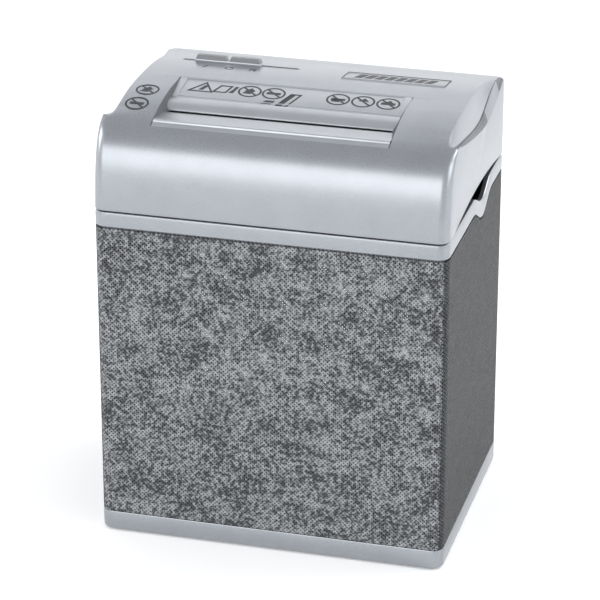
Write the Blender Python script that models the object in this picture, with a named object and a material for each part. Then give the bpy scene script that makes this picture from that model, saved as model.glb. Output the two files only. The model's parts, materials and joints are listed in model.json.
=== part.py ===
"""Personal paper shredder: a silver shredding head that lifts off a steel mesh waste bin.

Frame: the origin is on the floor under the middle of the bin, +X right, +Y back, +Z up. The paper slot
is near the front. Head pieces are placed above the seat, the plane where the head stands on the bin's rim.
"""

import math

import bmesh
import bpy
from mathutils import Vector

MM = 0.001
GAP = 0.3 * MM  # between pieces that touch

# Outside of the whole shredder
WIDTH = 239.5 * MM
DEPTH = 180.0 * MM
CORNER_RADIUS = 8.0 * MM

# Bin
FOOT_PROUD = 1.0 * MM
FOOT_RADIUS = 8.0 * MM
FOOT_INSET = 22.0 * MM  # from the tray's sides to a foot's centre
FOOT_POCKET = 2.0 * MM
BASE_TOP = 15.0 * MM
BASE_FLOOR = 4.5 * MM
UPSTAND = 9.0 * MM  # rib that holds the mesh from inside, on the tray and under the rim
UPSTAND_WALL = 2.0 * MM
MESH_INSET = 0.8 * MM
MESH_WALL = 0.9 * MM
RIM_TOP = 235.7 * MM
RIM_HEIGHT = 10.4 * MM
RIM_CHAMFER = 0.8 * MM
NOTCH_Y = 20.0 * MM  # finger notch in each side of the rim
NOTCH_HALF = 29.0 * MM
NOTCH_DEPTH = 9.0 * MM
NOTCH_LOWER = 11.0 * MM  # how far the rim's lower edge dips below the notch
NOTCH_STEPS = 10
CORNER_STEPS = 4

# Head cover
SEAT = RIM_TOP + GAP
HEAD_HEIGHT = 66.6 * MM
COVER_WALL = 2.5 * MM
COVER_CORNER = 7.75 * MM
ARCH_RISE = 6.0 * MM  # of the lower edge above the seat, at each side
ARCH_HALF = 76.0 * MM
ARCH_Y = 3.0 * MM
GROOVE_DROP = 19.5 * MM  # of the side groove below the crown
GROOVE_SPAN = (-0.71, 0.71)  # shares of the half depth
EDGE_DROP = 24.0 * MM  # of the side wall's scooped top edge below the crown
EDGE_SPAN = (-0.73, 0.955)
# Crown of the cover seen from the side: share of the half depth, share of the head's height
CROWN = (
    (-1.0, 0.0), (-0.985, 0.27), (-0.952, 0.51), (-0.885, 0.72), (-0.756, 0.856),
    (-0.5, 0.952), (-0.02, 1.0), (0.5, 0.943), (0.955, 0.832),
)
CROWN_STEPS = 3
BACK_ROUND = 4.0 * MM
# Stations from the crown's flat width out to the side wall: share of the corner radius,
# share of the groove's drop, share of the way from the groove to the side wall's edge
STATIONS = (
    (0.0, 0.0, 0.0), (0.3, 0.52, 0.0), (0.55, 1.0, 0.0), (0.68, 1.0, 0.1), (0.9, 1.0, 0.55), (1.0, 1.0, 1.0),
)

# Paper entry
ENTRY_X = -4.5 * MM
ENTRY_WIDTH = 152.0 * MM
ENTRY_WALL = 2.2 * MM
SLOT_Y = -46.1 * MM
SLOT_GAP = 4.8 * MM
LIP_Y = -70.8 * MM
CREASE_Y = -2.0 * MM
STEP_Y = -28.8 * MM
PANEL_WALL = 2.0 * MM
STEP_DROP = 3.5 * MM  # below the crown
SLOT_DROP = 5.2 * MM
THROAT_CLEARANCE = 0.5 * MM  # from the discs to the foot of the throat's walls

# Slide switch
SWITCH_SIDE = 56.5 * MM  # from the cover's left side
SWITCH_REAR = 49.5 * MM  # from the cover's back
SWITCH_TRAVEL = 17.0 * MM
KNOB_LENGTH = 47.0 * MM
KNOB_DEPTH = 6.4 * MM
KNOB_RISE = 5.0 * MM
GROOVE_DEPTH = 1.4 * MM
STEM_LENGTH = 6.0 * MM
STEM_WALL = 2.0 * MM

# Badge
BADGE_SIDE = 64.5 * MM  # from the cover's right side
BADGE_REAR = 54.7 * MM
BADGE_WIDTH = 72.0 * MM
BADGE_DEPTH = 22.0 * MM
BADGE_RECESS = 0.8 * MM
BADGE_PROUD = 0.4 * MM

# Lower housing
HOUSING_FLOOR = -20.0 * MM
HOUSING_TOP = 11.0 * MM
HOUSING_WALL = 2.4 * MM
RIM_CLEARANCE = 1.0 * MM
FINGER_DEPTH = 9.5 * MM
BOSS_RADIUS = 4.0 * MM
BOSS_SIDE = 12.6 * MM  # from the cover's sides
BOSS_FRONT = 24.0 * MM  # from the cover's front face to the front bosses
BOSS_REAR = 16.0 * MM
SCREW_RADIUS = 1.5 * MM
SCREW_HEAD = 3.0 * MM
SCREW_REACH = 12.0 * MM

# Cutters
DRUM_CENTRES = 26.0 * MM
DRUM_HEIGHT = 14.0 * MM
DISC_OVERLAP = 3.0 * MM
DISC_CLEARANCE = 1.1 * MM  # from a disc's edge to the other drum's core
CUT_MARGIN = 3.0 * MM  # from the entry's sides to the discs
DISC_WIDTH = 5.6 * MM
DISC_SIDE = 0.45 * MM  # from a disc to those of the other drum beside it
JOURNAL_RADIUS = 4.0 * MM
BUSH_WALL = 2.2 * MM
BUSH_FLANGE = 2.0 * MM
RUNNING = 0.3 * MM  # radial clearance of a shaft in its hole
PLATE_WALL = 2.0 * MM
PLATE_MARGIN = 4.5 * MM  # from the discs to the frame plates' front edge
PLATE_CLEARANCE = 10.0 * MM  # and to their rear edge
PLATE_FOOT = -17.0 * MM
ROD_RADIUS = 3.0 * MM
COMB_WALL = 2.0 * MM
COMB_SPINE = 3.6 * MM

# Gear train, on the right frame plate
PRESSURE = math.radians(25.0)
ADDENDUM = 0.8  # in modules
DEDENDUM = 1.0
BACKLASH = 0.25 * MM
GEAR_2_SLOPE = math.radians(-10.3)  # of the lines from the rear drum to gear 2, to gear 1 and to the motor
GEAR_1_SLOPE = math.radians(32.9)
MOTOR_SLOPE = math.radians(-8.5)
MOTOR_RADIUS = 24.0 * MM
MOTOR_LENGTH = 64.0 * MM
MOTOR_SHAFT = 2.5 * MM
AXLE_RADIUS = 2.5 * MM
MODULE_1 = 1.0 * MM  # motor pinion and gear 1
PINION_1, GEAR_1 = 10, 44
MODULE_2 = 1.25 * MM  # gear 1 and gear 2
PINION_2, GEAR_2 = 12, 32
MODULE_3 = 1.5 * MM  # gear 2 and the rear drum's gear
PINION_3, GEAR_3 = 11, 26
SYNC_TEETH = 20
LAYER_START = 1.5 * MM  # from the plate to the first gears
LAYER_1 = 5.0 * MM
LAYER_2 = 6.0 * MM
LAYER_3 = 7.4 * MM
LAYER_GAP = 0.8 * MM

# Paper sensor
SENSOR_X = -10.0 * MM
SENSOR_PIVOT_BACK = 9.0 * MM  # behind the slot's middle
SENSOR_PIVOT_DEPTH = 17.5 * MM  # below the crown
SENSOR_WINDOW_DOWN = 10.0 * MM  # window in the throat's wall, from the pivot's level
SENSOR_WINDOW_UP = 4.5 * MM
LEVER_WALL = 2.4 * MM
PIN_RADIUS = 1.0 * MM

# Bin interlock, in a channel in the left side
INTERLOCK_Y = -30.0 * MM
CHANNEL_WIDTH = 12.0 * MM
CHANNEL_DEPTH = 8.0 * MM
CHANNEL_ROOF = -2.0 * MM
TAB_TOP = -6.0 * MM
TAB_WIDTH = 6.0 * MM
TAB_REACH = 6.0 * MM
PLUNGER_RADIUS = 1.6 * MM
PLUNGER_TRAVEL = 3.0 * MM

# Control board and cord gland
BOARD_SIDE = 21.75 * MM  # from the cover's left side
BOARD_REAR = 22.0 * MM  # from the cover's back
BOARD_WIDTH = 74.0 * MM
BOARD_DEPTH = 58.0 * MM
BOARD_WALL = 1.6 * MM
POST_INSET = 4.0 * MM
GLAND_SIDE = 49.75 * MM  # from the cover's left side
GLAND_HEIGHT = 20.0 * MM
GLAND_RADIUS = 6.0 * MM
GLAND_BORE = 3.2 * MM
GLAND_FLANGE = 1.6 * MM

AXES = {"X": Vector((1, 0, 0)), "Y": Vector((0, 1, 0)), "Z": Vector((0, 0, 1))}


# ---------------------------------------------------------------- shapes


def on_plane(points, axis, level):
    """Puts (a, b) points on the plane across an axis: (y, z) for X, (x, z) for Y and (x, y) for Z."""
    if axis == "X":
        return [Vector((level, a, b)) for a, b in points]
    if axis == "Y":
        return [Vector((a, level, b)) for a, b in points]
    return [Vector((a, b, level)) for a, b in points]


def prism(outline, axis, low, high, holes=()):
    """Extrudes a flat outline, with holes, along an axis from one level to another."""
    bm = bmesh.new()
    edges = []
    for loop in (outline, *holes):
        verts = [bm.verts.new(point) for point in on_plane(loop, axis, low)]
        edges += [bm.edges.new((verts[i - 1], verts[i])) for i in range(len(verts))]
    filled = bmesh.ops.triangle_fill(bm, edges=edges, use_beauty=True)["geom"]
    faces = [face for face in filled if isinstance(face, bmesh.types.BMFace)]
    risen = bmesh.ops.extrude_face_region(bm, geom=faces)["geom"]
    moved = [vert for vert in risen if isinstance(vert, bmesh.types.BMVert)]
    bmesh.ops.translate(bm, vec=AXES[axis] * (high - low), verts=moved)
    return bm


def loft(rings, wrap=False):
    """Joins rings of equal length. It wraps the last ring to the first, or caps both ends."""
    bm = bmesh.new()
    rows = [[bm.verts.new(point) for point in ring] for ring in rings]
    for i in range(0 if wrap else 1, len(rows)):
        here, there = rows[i - 1], rows[i]
        for j in range(len(here)):
            bm.faces.new((here[j - 1], here[j], there[j], there[j - 1]))
    if not wrap:
        bm.faces.new(rows[0])
        bm.faces.new(rows[-1])
    return bm


def circle(radius, segments, centre=(0.0, 0.0), phase=0.0):
    turns = [phase + 2 * math.pi * i / segments for i in range(segments)]
    return [(centre[0] + radius * math.cos(a), centre[1] + radius * math.sin(a)) for a in turns]


def turned(profile, axis, segments, wrap=False):
    """Turns (radius, level) points about an axis through the local origin."""
    return loft([on_plane(circle(radius, segments), axis, level) for radius, level in profile], wrap)


def block(low, high):
    outline = [(low[0], low[1]), (high[0], low[1]), (high[0], high[1]), (low[0], high[1])]
    return prism(outline, "Z", low[2], high[2])


def rectangle(low_a, low_b, high_a, high_b):
    return [(low_a, low_b), (high_a, low_b), (high_a, high_b), (low_a, high_b)]


def spline(keys, steps):
    """Points along a smooth curve through the keys (Catmull-Rom), keys included."""
    points = []
    for i in range(len(keys) - 1):
        a, b, c, d = (Vector(keys[min(max(i + k, 0), len(keys) - 1)]) for k in (-1, 0, 1, 2))
        for step in range(steps):
            t = step / steps
            bend = 2 * b + (c - a) * t + (2 * a - 5 * b + 4 * c - d) * t**2 + (3 * b - a - 3 * c + d) * t**3
            points.append(tuple(0.5 * bend))
    points.append(tuple(keys[-1]))
    return points


# ---------------------------------------------------------------- objects


def clear_scene():
    for obj in list(bpy.data.objects):
        bpy.data.objects.remove(obj, do_unlink=True)


def look(name, colour, roughness, metallic=0.0):
    material = bpy.data.materials.new(name)
    material.use_nodes = True
    shader = material.node_tree.nodes["Principled BSDF"]
    shader.inputs["Base Color"].default_value = (*colour, 1.0)
    shader.inputs["Roughness"].default_value = roughness
    shader.inputs["Metallic"].default_value = metallic
    return material


def add(name, bm, material, parent, at=(0.0, 0.0, 0.0), tilt=0.0, smooth=False):
    """Makes a named piece from a bmesh. The origin is at `at`, in the parent's frame."""
    bmesh.ops.recalc_face_normals(bm, faces=bm.faces)
    mesh = bpy.data.meshes.new(name)
    bm.to_mesh(mesh)
    bm.free()
    obj = bpy.data.objects.new(name, mesh)
    bpy.context.scene.collection.objects.link(obj)
    obj.parent = parent
    obj.location = at
    obj.rotation_euler.x = tilt
    if material:
        mesh.materials.append(material)
    if smooth:
        mesh.shade_smooth()
        mesh.set_sharp_from_angle(angle=math.radians(30))
    return obj


def shape_with(obj, operation, bm, at=(0.0, 0.0, 0.0), tilt=0.0):
    """Adds or cuts a helper shape, which stays in the file as a wire guide."""
    helper = add(f"{obj.name}_{operation.lower()}_{len(obj.modifiers)}", bm, None, obj.parent, at, tilt)
    helper.hide_render = True
    helper.display_type = "WIRE"
    modifier = obj.modifiers.new(helper.name, "BOOLEAN")
    modifier.operation = operation
    modifier.solver = "EXACT"
    modifier.object = helper


def cut(obj, bm, at=(0.0, 0.0, 0.0), tilt=0.0):
    shape_with(obj, "DIFFERENCE", bm, at, tilt)


def join(obj, bm, at=(0.0, 0.0, 0.0), tilt=0.0):
    shape_with(obj, "UNION", bm, at, tilt)


def empty(name, at):
    obj = bpy.data.objects.new(name, None)
    bpy.context.scene.collection.objects.link(obj)
    obj.location = at
    return obj


# ---------------------------------------------------------------- bin


def perimeter(inset):
    """Plan outline of the bin, inset from its outside, with extra points along the finger notches."""
    half_w, half_d, radius = WIDTH / 2 - inset, DEPTH / 2 - inset, CORNER_RADIUS - inset
    notch = [NOTCH_Y + NOTCH_HALF * (2 * i / NOTCH_STEPS - 1) for i in range(NOTCH_STEPS + 1)]
    points = []
    for quarter, (side_x, side_y) in enumerate(((1, -1), (1, 1), (-1, 1), (-1, -1))):
        centre = (side_x * (half_w - radius), side_y * (half_d - radius))
        for step in range(CORNER_STEPS + 1):
            turn = math.pi / 2 * (quarter - 1 + step / CORNER_STEPS)
            points.append((centre[0] + radius * math.cos(turn), centre[1] + radius * math.sin(turn)))
        if quarter == 0:
            points += [(half_w, y) for y in notch]
        if quarter == 2:
            points += [(-half_w, y) for y in reversed(notch)]
    return points


def notch_dip(x, y, depth):
    """How far the rim dips at a point of its outline: a smooth bay in each side."""
    if abs(x) < WIDTH / 2 - CORNER_RADIUS or abs(y - NOTCH_Y) > NOTCH_HALF:
        return 0.0
    return depth * (1 + math.cos(math.pi * (y - NOTCH_Y) / NOTCH_HALF)) / 2


def swept(section):
    """Sweeps a closed section of (inset, height, notch depth) points round the bin."""
    rows = [perimeter(inset) for inset, _, _ in section]
    rings = []
    for i in range(len(rows[0])):
        x, y = rows[0][i]
        ring = []
        for row, (_, height, depth) in zip(rows, section):
            ring.append(Vector((*row[i], height - notch_dip(x, y, depth))))
        rings.append(ring)
    return loft(rings, wrap=True)


def make_base_tray(silver, bin_frame):
    upstand = MESH_INSET + MESH_WALL + GAP
    levels = (
        (RIM_CHAMFER, FOOT_PROUD), (0.0, FOOT_PROUD + RIM_CHAMFER), (0.0, BASE_TOP - RIM_CHAMFER),
        (RIM_CHAMFER, BASE_TOP), (upstand, BASE_TOP), (upstand, BASE_TOP + UPSTAND),
        (upstand + UPSTAND_WALL, BASE_TOP + UPSTAND), (upstand + UPSTAND_WALL, BASE_FLOOR),
    )
    rings = [[Vector((x, y, level)) for x, y in perimeter(inset)] for inset, level in levels]
    tray = add("base_tray", loft(rings), silver, bin_frame)
    for x in (-1, 1):
        for y in (-1, 1):
            place = (x * (WIDTH / 2 - FOOT_INSET), y * (DEPTH / 2 - FOOT_INSET))
            radius = FOOT_RADIUS + GAP
            pocket = turned(((radius, 0.0), (radius, FOOT_PROUD + FOOT_POCKET)), "Z", 16)
            cut(tray, pocket, (*place, 0.0))
    return tray


def make_feet(rubber, bin_frame):
    top = FOOT_PROUD + FOOT_POCKET - GAP
    profile = ((FOOT_RADIUS - 0.6 * MM, 0.0), (FOOT_RADIUS, 0.6 * MM), (FOOT_RADIUS, top))
    for x, side in ((-1, "left"), (1, "right")):
        for y, end in ((-1, "front"), (1, "rear")):
            place = (x * (WIDTH / 2 - FOOT_INSET), y * (DEPTH / 2 - FOOT_INSET), 0.0)
            add(f"foot_{end}_{side}", turned(profile, "Z", 16), rubber, bin_frame, place, smooth=True)


def make_bin_mesh(steel, bin_frame):
    top = RIM_TOP - RIM_HEIGHT - GAP
    low, inner = BASE_TOP + GAP, MESH_INSET + MESH_WALL
    section = (
        (MESH_INSET, low, 0.0), (MESH_INSET, top, NOTCH_LOWER), (inner, top, NOTCH_LOWER), (inner, low, 0.0),
    )
    add("bin_mesh", swept(section), steel, bin_frame)


def make_bin_rim(silver, bin_frame):
    low, skirt = RIM_TOP - RIM_HEIGHT, MESH_INSET + MESH_WALL + GAP
    inner, foot = skirt + UPSTAND_WALL, low - UPSTAND
    section = (
        (0.0, low, NOTCH_LOWER), (0.0, RIM_TOP - RIM_CHAMFER, NOTCH_DEPTH),
        (RIM_CHAMFER, RIM_TOP, NOTCH_DEPTH),
        (inner, RIM_TOP, NOTCH_DEPTH), (inner, foot, NOTCH_LOWER), (skirt, foot, NOTCH_LOWER),
        (skirt, low, NOTCH_LOWER),
    )
    rim = add("bin_rim", swept(section), silver, bin_frame)
    wall_x = -WIDTH / 2 + inner
    tab_low = (wall_x - UPSTAND_WALL / 2, INTERLOCK_Y - TAB_WIDTH / 2, SEAT + TAB_TOP - 2 * TAB_REACH)
    join(rim, block(tab_low, (wall_x + TAB_REACH, INTERLOCK_Y + TAB_WIDTH / 2, SEAT + TAB_TOP)))
    return rim


# ---------------------------------------------------------------- head cover


def switch_place():
    return -WIDTH / 2 + SWITCH_SIDE, DEPTH / 2 - SWITCH_REAR


def badge_place():
    return WIDTH / 2 - BADGE_SIDE, DEPTH / 2 - BADGE_REAR


def gland_x():
    return -WIDTH / 2 + GLAND_SIDE


def slot_height():
    return crown_height(SLOT_Y) - SLOT_DROP


def throat_foot():
    """Foot of the throat's walls, just above the discs."""
    from_axis = DRUM_CENTRES / 2 - SLOT_GAP / 2 - PANEL_WALL
    return DRUM_HEIGHT + math.sqrt(disc_radius()**2 - from_axis**2) + THROAT_CLEARANCE


def bump(share, span):
    """A smooth rise from 0 at both ends of a span to 1 in its middle."""
    along = (share - span[0]) / (span[1] - span[0])
    return math.sin(math.pi * along) if 0 < along < 1 else 0.0


def crown_outline(shell):
    """Side view of the cover from its front foot over the crown to the back edge: (share, y, height)."""
    half, height = DEPTH / 2 - shell, HEAD_HEIGHT - shell
    return [(share, share * half, rise * height) for share, rise in spline(CROWN, CROWN_STEPS)]


def crown_height(y, shell=0.0):
    """Height of the crown above the seat at a depth y."""
    points = crown_outline(shell)
    for (_, y0, h0), (_, y1, h1) in zip(points, points[1:]):
        if y0 <= y <= y1:
            return h0 + (h1 - h0) * (y - y0) / (y1 - y0)
    return points[-1][2]


def crown_tilt(y):
    """Slope of the crown at a depth y, as a turn about X."""
    step = 4.0 * MM
    return math.atan2(crown_height(y + step) - crown_height(y - step), 2 * step)


def cover_ring(station, side, shell, foot):
    """One cross-section of the cover, at a station between the flat crown and the side wall."""
    share_x, share_groove, share_edge = station
    radius = COVER_CORNER - shell
    x = side * (WIDTH / 2 - COVER_CORNER + radius * share_x)
    inset = radius - math.sqrt(radius**2 - (radius * share_x) ** 2)
    half = DEPTH / 2 - shell
    squeeze = (half - inset) / half
    side_view = crown_outline(shell)
    if foot < 0:
        side_view = [(-1.0, -half, foot), *side_view[1:]]
    ring = []
    for share, y, height in side_view:
        groove = GROOVE_DROP * bump(share, GROOVE_SPAN) * share_groove
        edge = EDGE_DROP * bump(share, EDGE_SPAN)
        drop = groove + (edge - groove) * share_edge
        ring.append(Vector((x, y * squeeze, height - drop)))
    back_height = ring[-1].z
    ring.append(Vector((x, (half - BACK_ROUND * 0.3) * squeeze, back_height - BACK_ROUND * 0.35)))
    ring.append(Vector((x, half * squeeze, back_height - BACK_ROUND)))
    ring.append(Vector((x, half * squeeze, foot)))
    return ring


def cover_solid(shell, foot):
    left = [cover_ring(station, -1, shell, foot) for station in reversed(STATIONS)]
    right = [cover_ring(station, 1, shell, foot) for station in STATIONS]
    return loft(left + right)


def entry_sides():
    return ENTRY_X - ENTRY_WIDTH / 2, ENTRY_X + ENTRY_WIDTH / 2


def boss_places():
    front, rear = -DEPTH / 2 + BOSS_FRONT, DEPTH / 2 - BOSS_REAR
    side = WIDTH / 2 - BOSS_SIDE
    return ((-side, front), (side, front), (-side, rear), (side, rear))


def make_top_cover(silver, head):
    cover = add("top_cover", cover_solid(0.0, 0.0), silver, head)
    cut(cover, cover_solid(COVER_WALL, -COVER_WALL))
    arch_steps = 12
    arch = [(ARCH_Y - ARCH_HALF - GAP, -COVER_WALL)]
    for i in range(arch_steps + 1):
        along = 2 * i / arch_steps - 1
        arch.append((ARCH_Y + ARCH_HALF * along, ARCH_RISE * (1 - along**2)))
    arch.append((ARCH_Y + ARCH_HALF + GAP, -COVER_WALL))
    cut(cover, prism(arch, "X", -WIDTH, WIDTH))

    left, right = entry_sides()
    wall_foot = slot_height() - 2 * PANEL_WALL
    wall_steps = 10
    wall_front, wall_back = LIP_Y - 2 * MM, CREASE_Y + 2 * MM
    wall_ys = [wall_front + (wall_back - wall_front) * i / wall_steps for i in range(wall_steps + 1)]
    wall = [(y, crown_height(y, COVER_WALL) + COVER_WALL / 2) for y in wall_ys]
    wall += [(wall_ys[-1], wall_foot), (wall_ys[0] + 3 * MM, wall_foot - 3 * MM)]
    join(cover, prism(wall, "X", left - ENTRY_WALL, left))
    join(cover, prism(wall, "X", right, right + ENTRY_WALL))
    opening = rectangle(LIP_Y, wall_foot - 3 * COVER_WALL, CREASE_Y, HEAD_HEIGHT + COVER_WALL)
    cut(cover, prism(opening, "X", left, right))

    for x, y in boss_places():
        top = crown_height(y, COVER_WALL) + COVER_WALL / 2
        foot = HOUSING_FLOOR + HOUSING_WALL + GAP
        join(cover, turned(((BOSS_RADIUS, foot), (BOSS_RADIUS, top)), "Z", 12), (x, y, 0.0))
        bore = ((SCREW_RADIUS + GAP, foot - MM), (SCREW_RADIUS + GAP, foot + SCREW_REACH))
        cut(cover, turned(bore, "Z", 10), (x, y, 0.0))

    travel = KNOB_LENGTH / 2 + SWITCH_TRAVEL + GAP
    half_depth = KNOB_DEPTH / 2 + GAP
    groove = block((-travel, -half_depth, -GROOVE_DEPTH), (travel, half_depth, KNOB_RISE))
    switch_x, switch_y = switch_place()
    place, tilt = (switch_x, switch_y, crown_height(switch_y)), crown_tilt(switch_y)
    cut(cover, groove, place, tilt)
    reach = STEM_LENGTH / 2 + SWITCH_TRAVEL + GAP
    half_stem = STEM_WALL / 2 + GAP
    slot = block((-reach, -half_stem, -3 * COVER_WALL), (reach, half_stem, KNOB_RISE))
    cut(cover, slot, place, tilt)

    half_w, half_d = BADGE_WIDTH / 2 + GAP, BADGE_DEPTH / 2 + GAP
    recess = block((-half_w, -half_d, -BADGE_RECESS - GAP), (half_w, half_d, COVER_WALL))
    badge_x, badge_y = badge_place()
    cut(cover, recess, (badge_x, badge_y, crown_height(badge_y)), crown_tilt(badge_y))

    hole = turned(((GLAND_RADIUS + GAP, -COVER_WALL), (GLAND_RADIUS + GAP, 2 * COVER_WALL)), "Y", 16)
    cut(cover, hole, (gland_x(), DEPTH / 2 - COVER_WALL, GLAND_HEIGHT))
    return cover


def make_badge(metal, head):
    half_w, half_d = BADGE_WIDTH / 2, BADGE_DEPTH / 2
    x, y = badge_place()
    plate = block((-half_w, -half_d, -BADGE_RECESS), (half_w, half_d, BADGE_PROUD))
    add("badge_plate", plate, metal, head, (x, y, crown_height(y)), crown_tilt(y))


def make_cord_gland(black, head):
    """Ring that guards the cord's way out, pushed in from inside the back wall."""
    inside, flange = -COVER_WALL - GAP, GLAND_RADIUS + 2 * GAP + GLAND_FLANGE
    back = inside - GLAND_FLANGE
    profile = (
        (GLAND_BORE, back), (flange, back), (flange, inside), (GLAND_RADIUS, inside),
        (GLAND_RADIUS, -0.5 * MM), (GLAND_RADIUS - 0.5 * MM, 0.0), (GLAND_BORE, 0.0),
    )
    place = (gland_x(), DEPTH / 2, GLAND_HEIGHT)
    add("cord_gland", turned(profile, "Y", 16, wrap=True), black, head, place, smooth=True)


# ---------------------------------------------------------------- paper entry


def make_entry_panel(silver, head):
    """Sloped panel behind the slot, its rounded bar, and the throat's rear wall."""
    left, right = entry_sides()
    wall, slot, foot = SLOT_Y + SLOT_GAP / 2, slot_height(), throat_foot()
    step = crown_height(STEP_Y) - STEP_DROP
    groove = 1.0 * MM
    bar = spline(
        ((STEP_Y - groove, step - 0.5 * MM), ((STEP_Y + wall) / 2 + MM, step - 0.9 * MM),
         (wall + 2.4 * MM, slot + 0.9 * MM), (wall, slot - 2.4 * MM)), 3,
    )
    back = (CREASE_Y - GAP, crown_height(CREASE_Y))
    outline = [back, (STEP_Y, step), (STEP_Y - groove / 2, step - 1.6 * groove), *bar]
    outline += [(wall, foot), (wall + PANEL_WALL, foot), (wall + PANEL_WALL, slot - 2 * PANEL_WALL)]
    outline += [(STEP_Y - groove, step - 2.2 * PANEL_WALL), (back[0], back[1] - PANEL_WALL)]
    panel = add("entry_panel", prism(outline, "X", left + GAP, right - GAP), silver, head)
    half = LEVER_WALL / 2 + 1.6 * MM
    pivot_z = sensor_pivot()[1]
    window_low = (SENSOR_X - half, wall - MM, pivot_z - SENSOR_WINDOW_DOWN)
    window_high = (SENSOR_X + half, wall + PANEL_WALL + MM, pivot_z + SENSOR_WINDOW_UP)
    cut(panel, block(window_low, window_high))
    return panel


def make_front_guide(silver, head):
    """Guide in front of the slot and the throat's front wall."""
    left, right = entry_sides()
    wall, slot, foot = SLOT_Y - SLOT_GAP / 2, slot_height(), throat_foot()
    lip = (LIP_Y + GAP, crown_height(LIP_Y))
    round_off = 1.0 * MM
    outline = [
        lip, (wall - round_off, slot), (wall, slot - round_off), (wall, foot), (wall - PANEL_WALL, foot),
        (wall - PANEL_WALL, slot - 2 * PANEL_WALL), (lip[0], lip[1] - PANEL_WALL),
    ]
    return add("front_guide", prism(outline, "X", left + GAP, right - GAP), silver, head)


# ---------------------------------------------------------------- slide switch


def make_switch_knob(grey, head):
    """Knob with two ribbed pads and a stem down to the switch. Its outline is the front view."""
    half, floor = KNOB_LENGTH / 2, -GROOVE_DEPTH + GAP
    pad_top, shoulder, ribs = KNOB_RISE, 0.55 * KNOB_RISE, 5
    outline = [(-half, floor), (half, floor), (half, shoulder)]
    for side in (1, -1):
        start, end = (half - 3 * MM, 3.5 * MM) if side > 0 else (-3.5 * MM, -half + 3 * MM)
        outline.append((start + 0.8 * MM * side if side > 0 else start, shoulder))
        pitch = (end - start) / (2 * ribs - 1)
        for i in range(2 * ribs):
            level = pad_top if i % 2 == 0 else pad_top - 0.7 * MM
            if i < 2 * ribs - 1:
                outline += [(start + pitch * i, level), (start + pitch * (i + 0.7), level)]
        outline.append((end - 0.8 * MM if side < 0 else end, shoulder))
    outline.append((-half, shoulder))
    bm = prism(outline, "Y", -KNOB_DEPTH / 2, KNOB_DEPTH / 2)
    switch_x, switch_y = switch_place()
    place, tilt = (switch_x, switch_y, crown_height(switch_y)), crown_tilt(switch_y)
    knob = add("switch_knob", bm, grey, head, place, tilt)
    stem = block(
        (-STEM_LENGTH / 2, -STEM_WALL / 2, -3.6 * COVER_WALL), (STEM_LENGTH / 2, STEM_WALL / 2, floor + GAP)
    )
    join(knob, stem, place, tilt)
    return knob


def make_mode_switch(black, head):
    x, y = switch_place()
    top = crown_height(y) - 3.6 * COVER_WALL - 2 * MM
    low, high = (x - 22 * MM, y - 7 * MM, top - 11 * MM), (x + 22 * MM, y + 7 * MM, top)
    add("mode_switch", block(low, high), black, head)


# ---------------------------------------------------------------- lower housing


def housing_outline(wall):
    """Plan of the lower housing, inset by a wall: a finger bay in each side, and the interlock channel."""
    inset = MESH_INSET + MESH_WALL + GAP + UPSTAND_WALL + RIM_CLEARANCE
    x, y = WIDTH / 2 - inset - wall, DEPTH / 2 - inset - wall
    chamfer = CORNER_RADIUS * 0.6
    bay_x, bay = x - FINGER_DEPTH, NOTCH_HALF - 2 * MM + wall
    slope = 8 * MM
    front, rear = NOTCH_Y - bay, NOTCH_Y + bay
    channel_x, channel = -x + CHANNEL_DEPTH, CHANNEL_WIDTH / 2 + wall
    return [
        (-x + chamfer, -y), (x - chamfer, -y), (x, -y + chamfer),
        (x, front), (bay_x, front + slope), (bay_x, rear - slope), (x, rear),
        (x, y - chamfer), (x - chamfer, y), (-x + chamfer, y), (-x, y - chamfer),
        (-x, rear), (-bay_x, rear - slope), (-bay_x, front + slope), (-x, front),
        (-x, INTERLOCK_Y + channel), (channel_x, INTERLOCK_Y + channel),
        (channel_x, INTERLOCK_Y - channel), (-x, INTERLOCK_Y - channel), (-x, -y + chamfer),
    ]


def board_corners():
    """Opposite plan corners of the control board."""
    x, y = -WIDTH / 2 + BOARD_SIDE, DEPTH / 2 - BOARD_REAR
    return (x, y - BOARD_DEPTH), (x + BOARD_WIDTH, y)


def make_lower_housing(black, head):
    housing = add("lower_housing", prism(housing_outline(0.0), "Z", HOUSING_FLOOR, HOUSING_TOP), black, head)
    floor = HOUSING_FLOOR + HOUSING_WALL
    cut(housing, prism(housing_outline(HOUSING_WALL), "Z", floor, HOUSING_TOP + MM))
    cutters_left, cutters_right = cutter_span()
    half = DRUM_CENTRES / 2 + disc_radius() + MM
    mouth_low = (cutters_left, SLOT_Y - half, HOUSING_FLOOR - MM)
    cut(housing, block(mouth_low, (cutters_right, SLOT_Y + half, floor + MM)))
    for x, y in boss_places():
        hole = ((SCREW_RADIUS + GAP, HOUSING_FLOOR - MM), (SCREW_RADIUS + GAP, floor + MM))
        cut(housing, turned(hole, "Z", 10), (x, y, 0.0))
    inner_x = housing_outline(0.0)[16][0]
    outer_x = housing_outline(0.0)[15][0]
    half = CHANNEL_WIDTH / 2
    roof_low = (outer_x, INTERLOCK_Y - half - MM, CHANNEL_ROOF)
    join(housing, block(roof_low, (inner_x + MM, INTERLOCK_Y + half + MM, CHANNEL_ROOF + HOUSING_WALL)))
    radius = PLUNGER_RADIUS + GAP
    hole = ((radius, CHANNEL_ROOF - MM), (radius, CHANNEL_ROOF + 2 * HOUSING_WALL))
    cut(housing, turned(hole, "Z", 12), (plunger_x(), INTERLOCK_Y, 0.0))
    low, high = board_corners()
    for x in (low[0] + POST_INSET, high[0] - POST_INSET):
        for y in (low[1] + POST_INSET, high[1] - POST_INSET):
            post = ((2.6 * MM, floor - MM), (2.6 * MM, -GAP))
            join(housing, turned(post, "Z", 10), (x, y, 0.0))
    return housing


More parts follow.
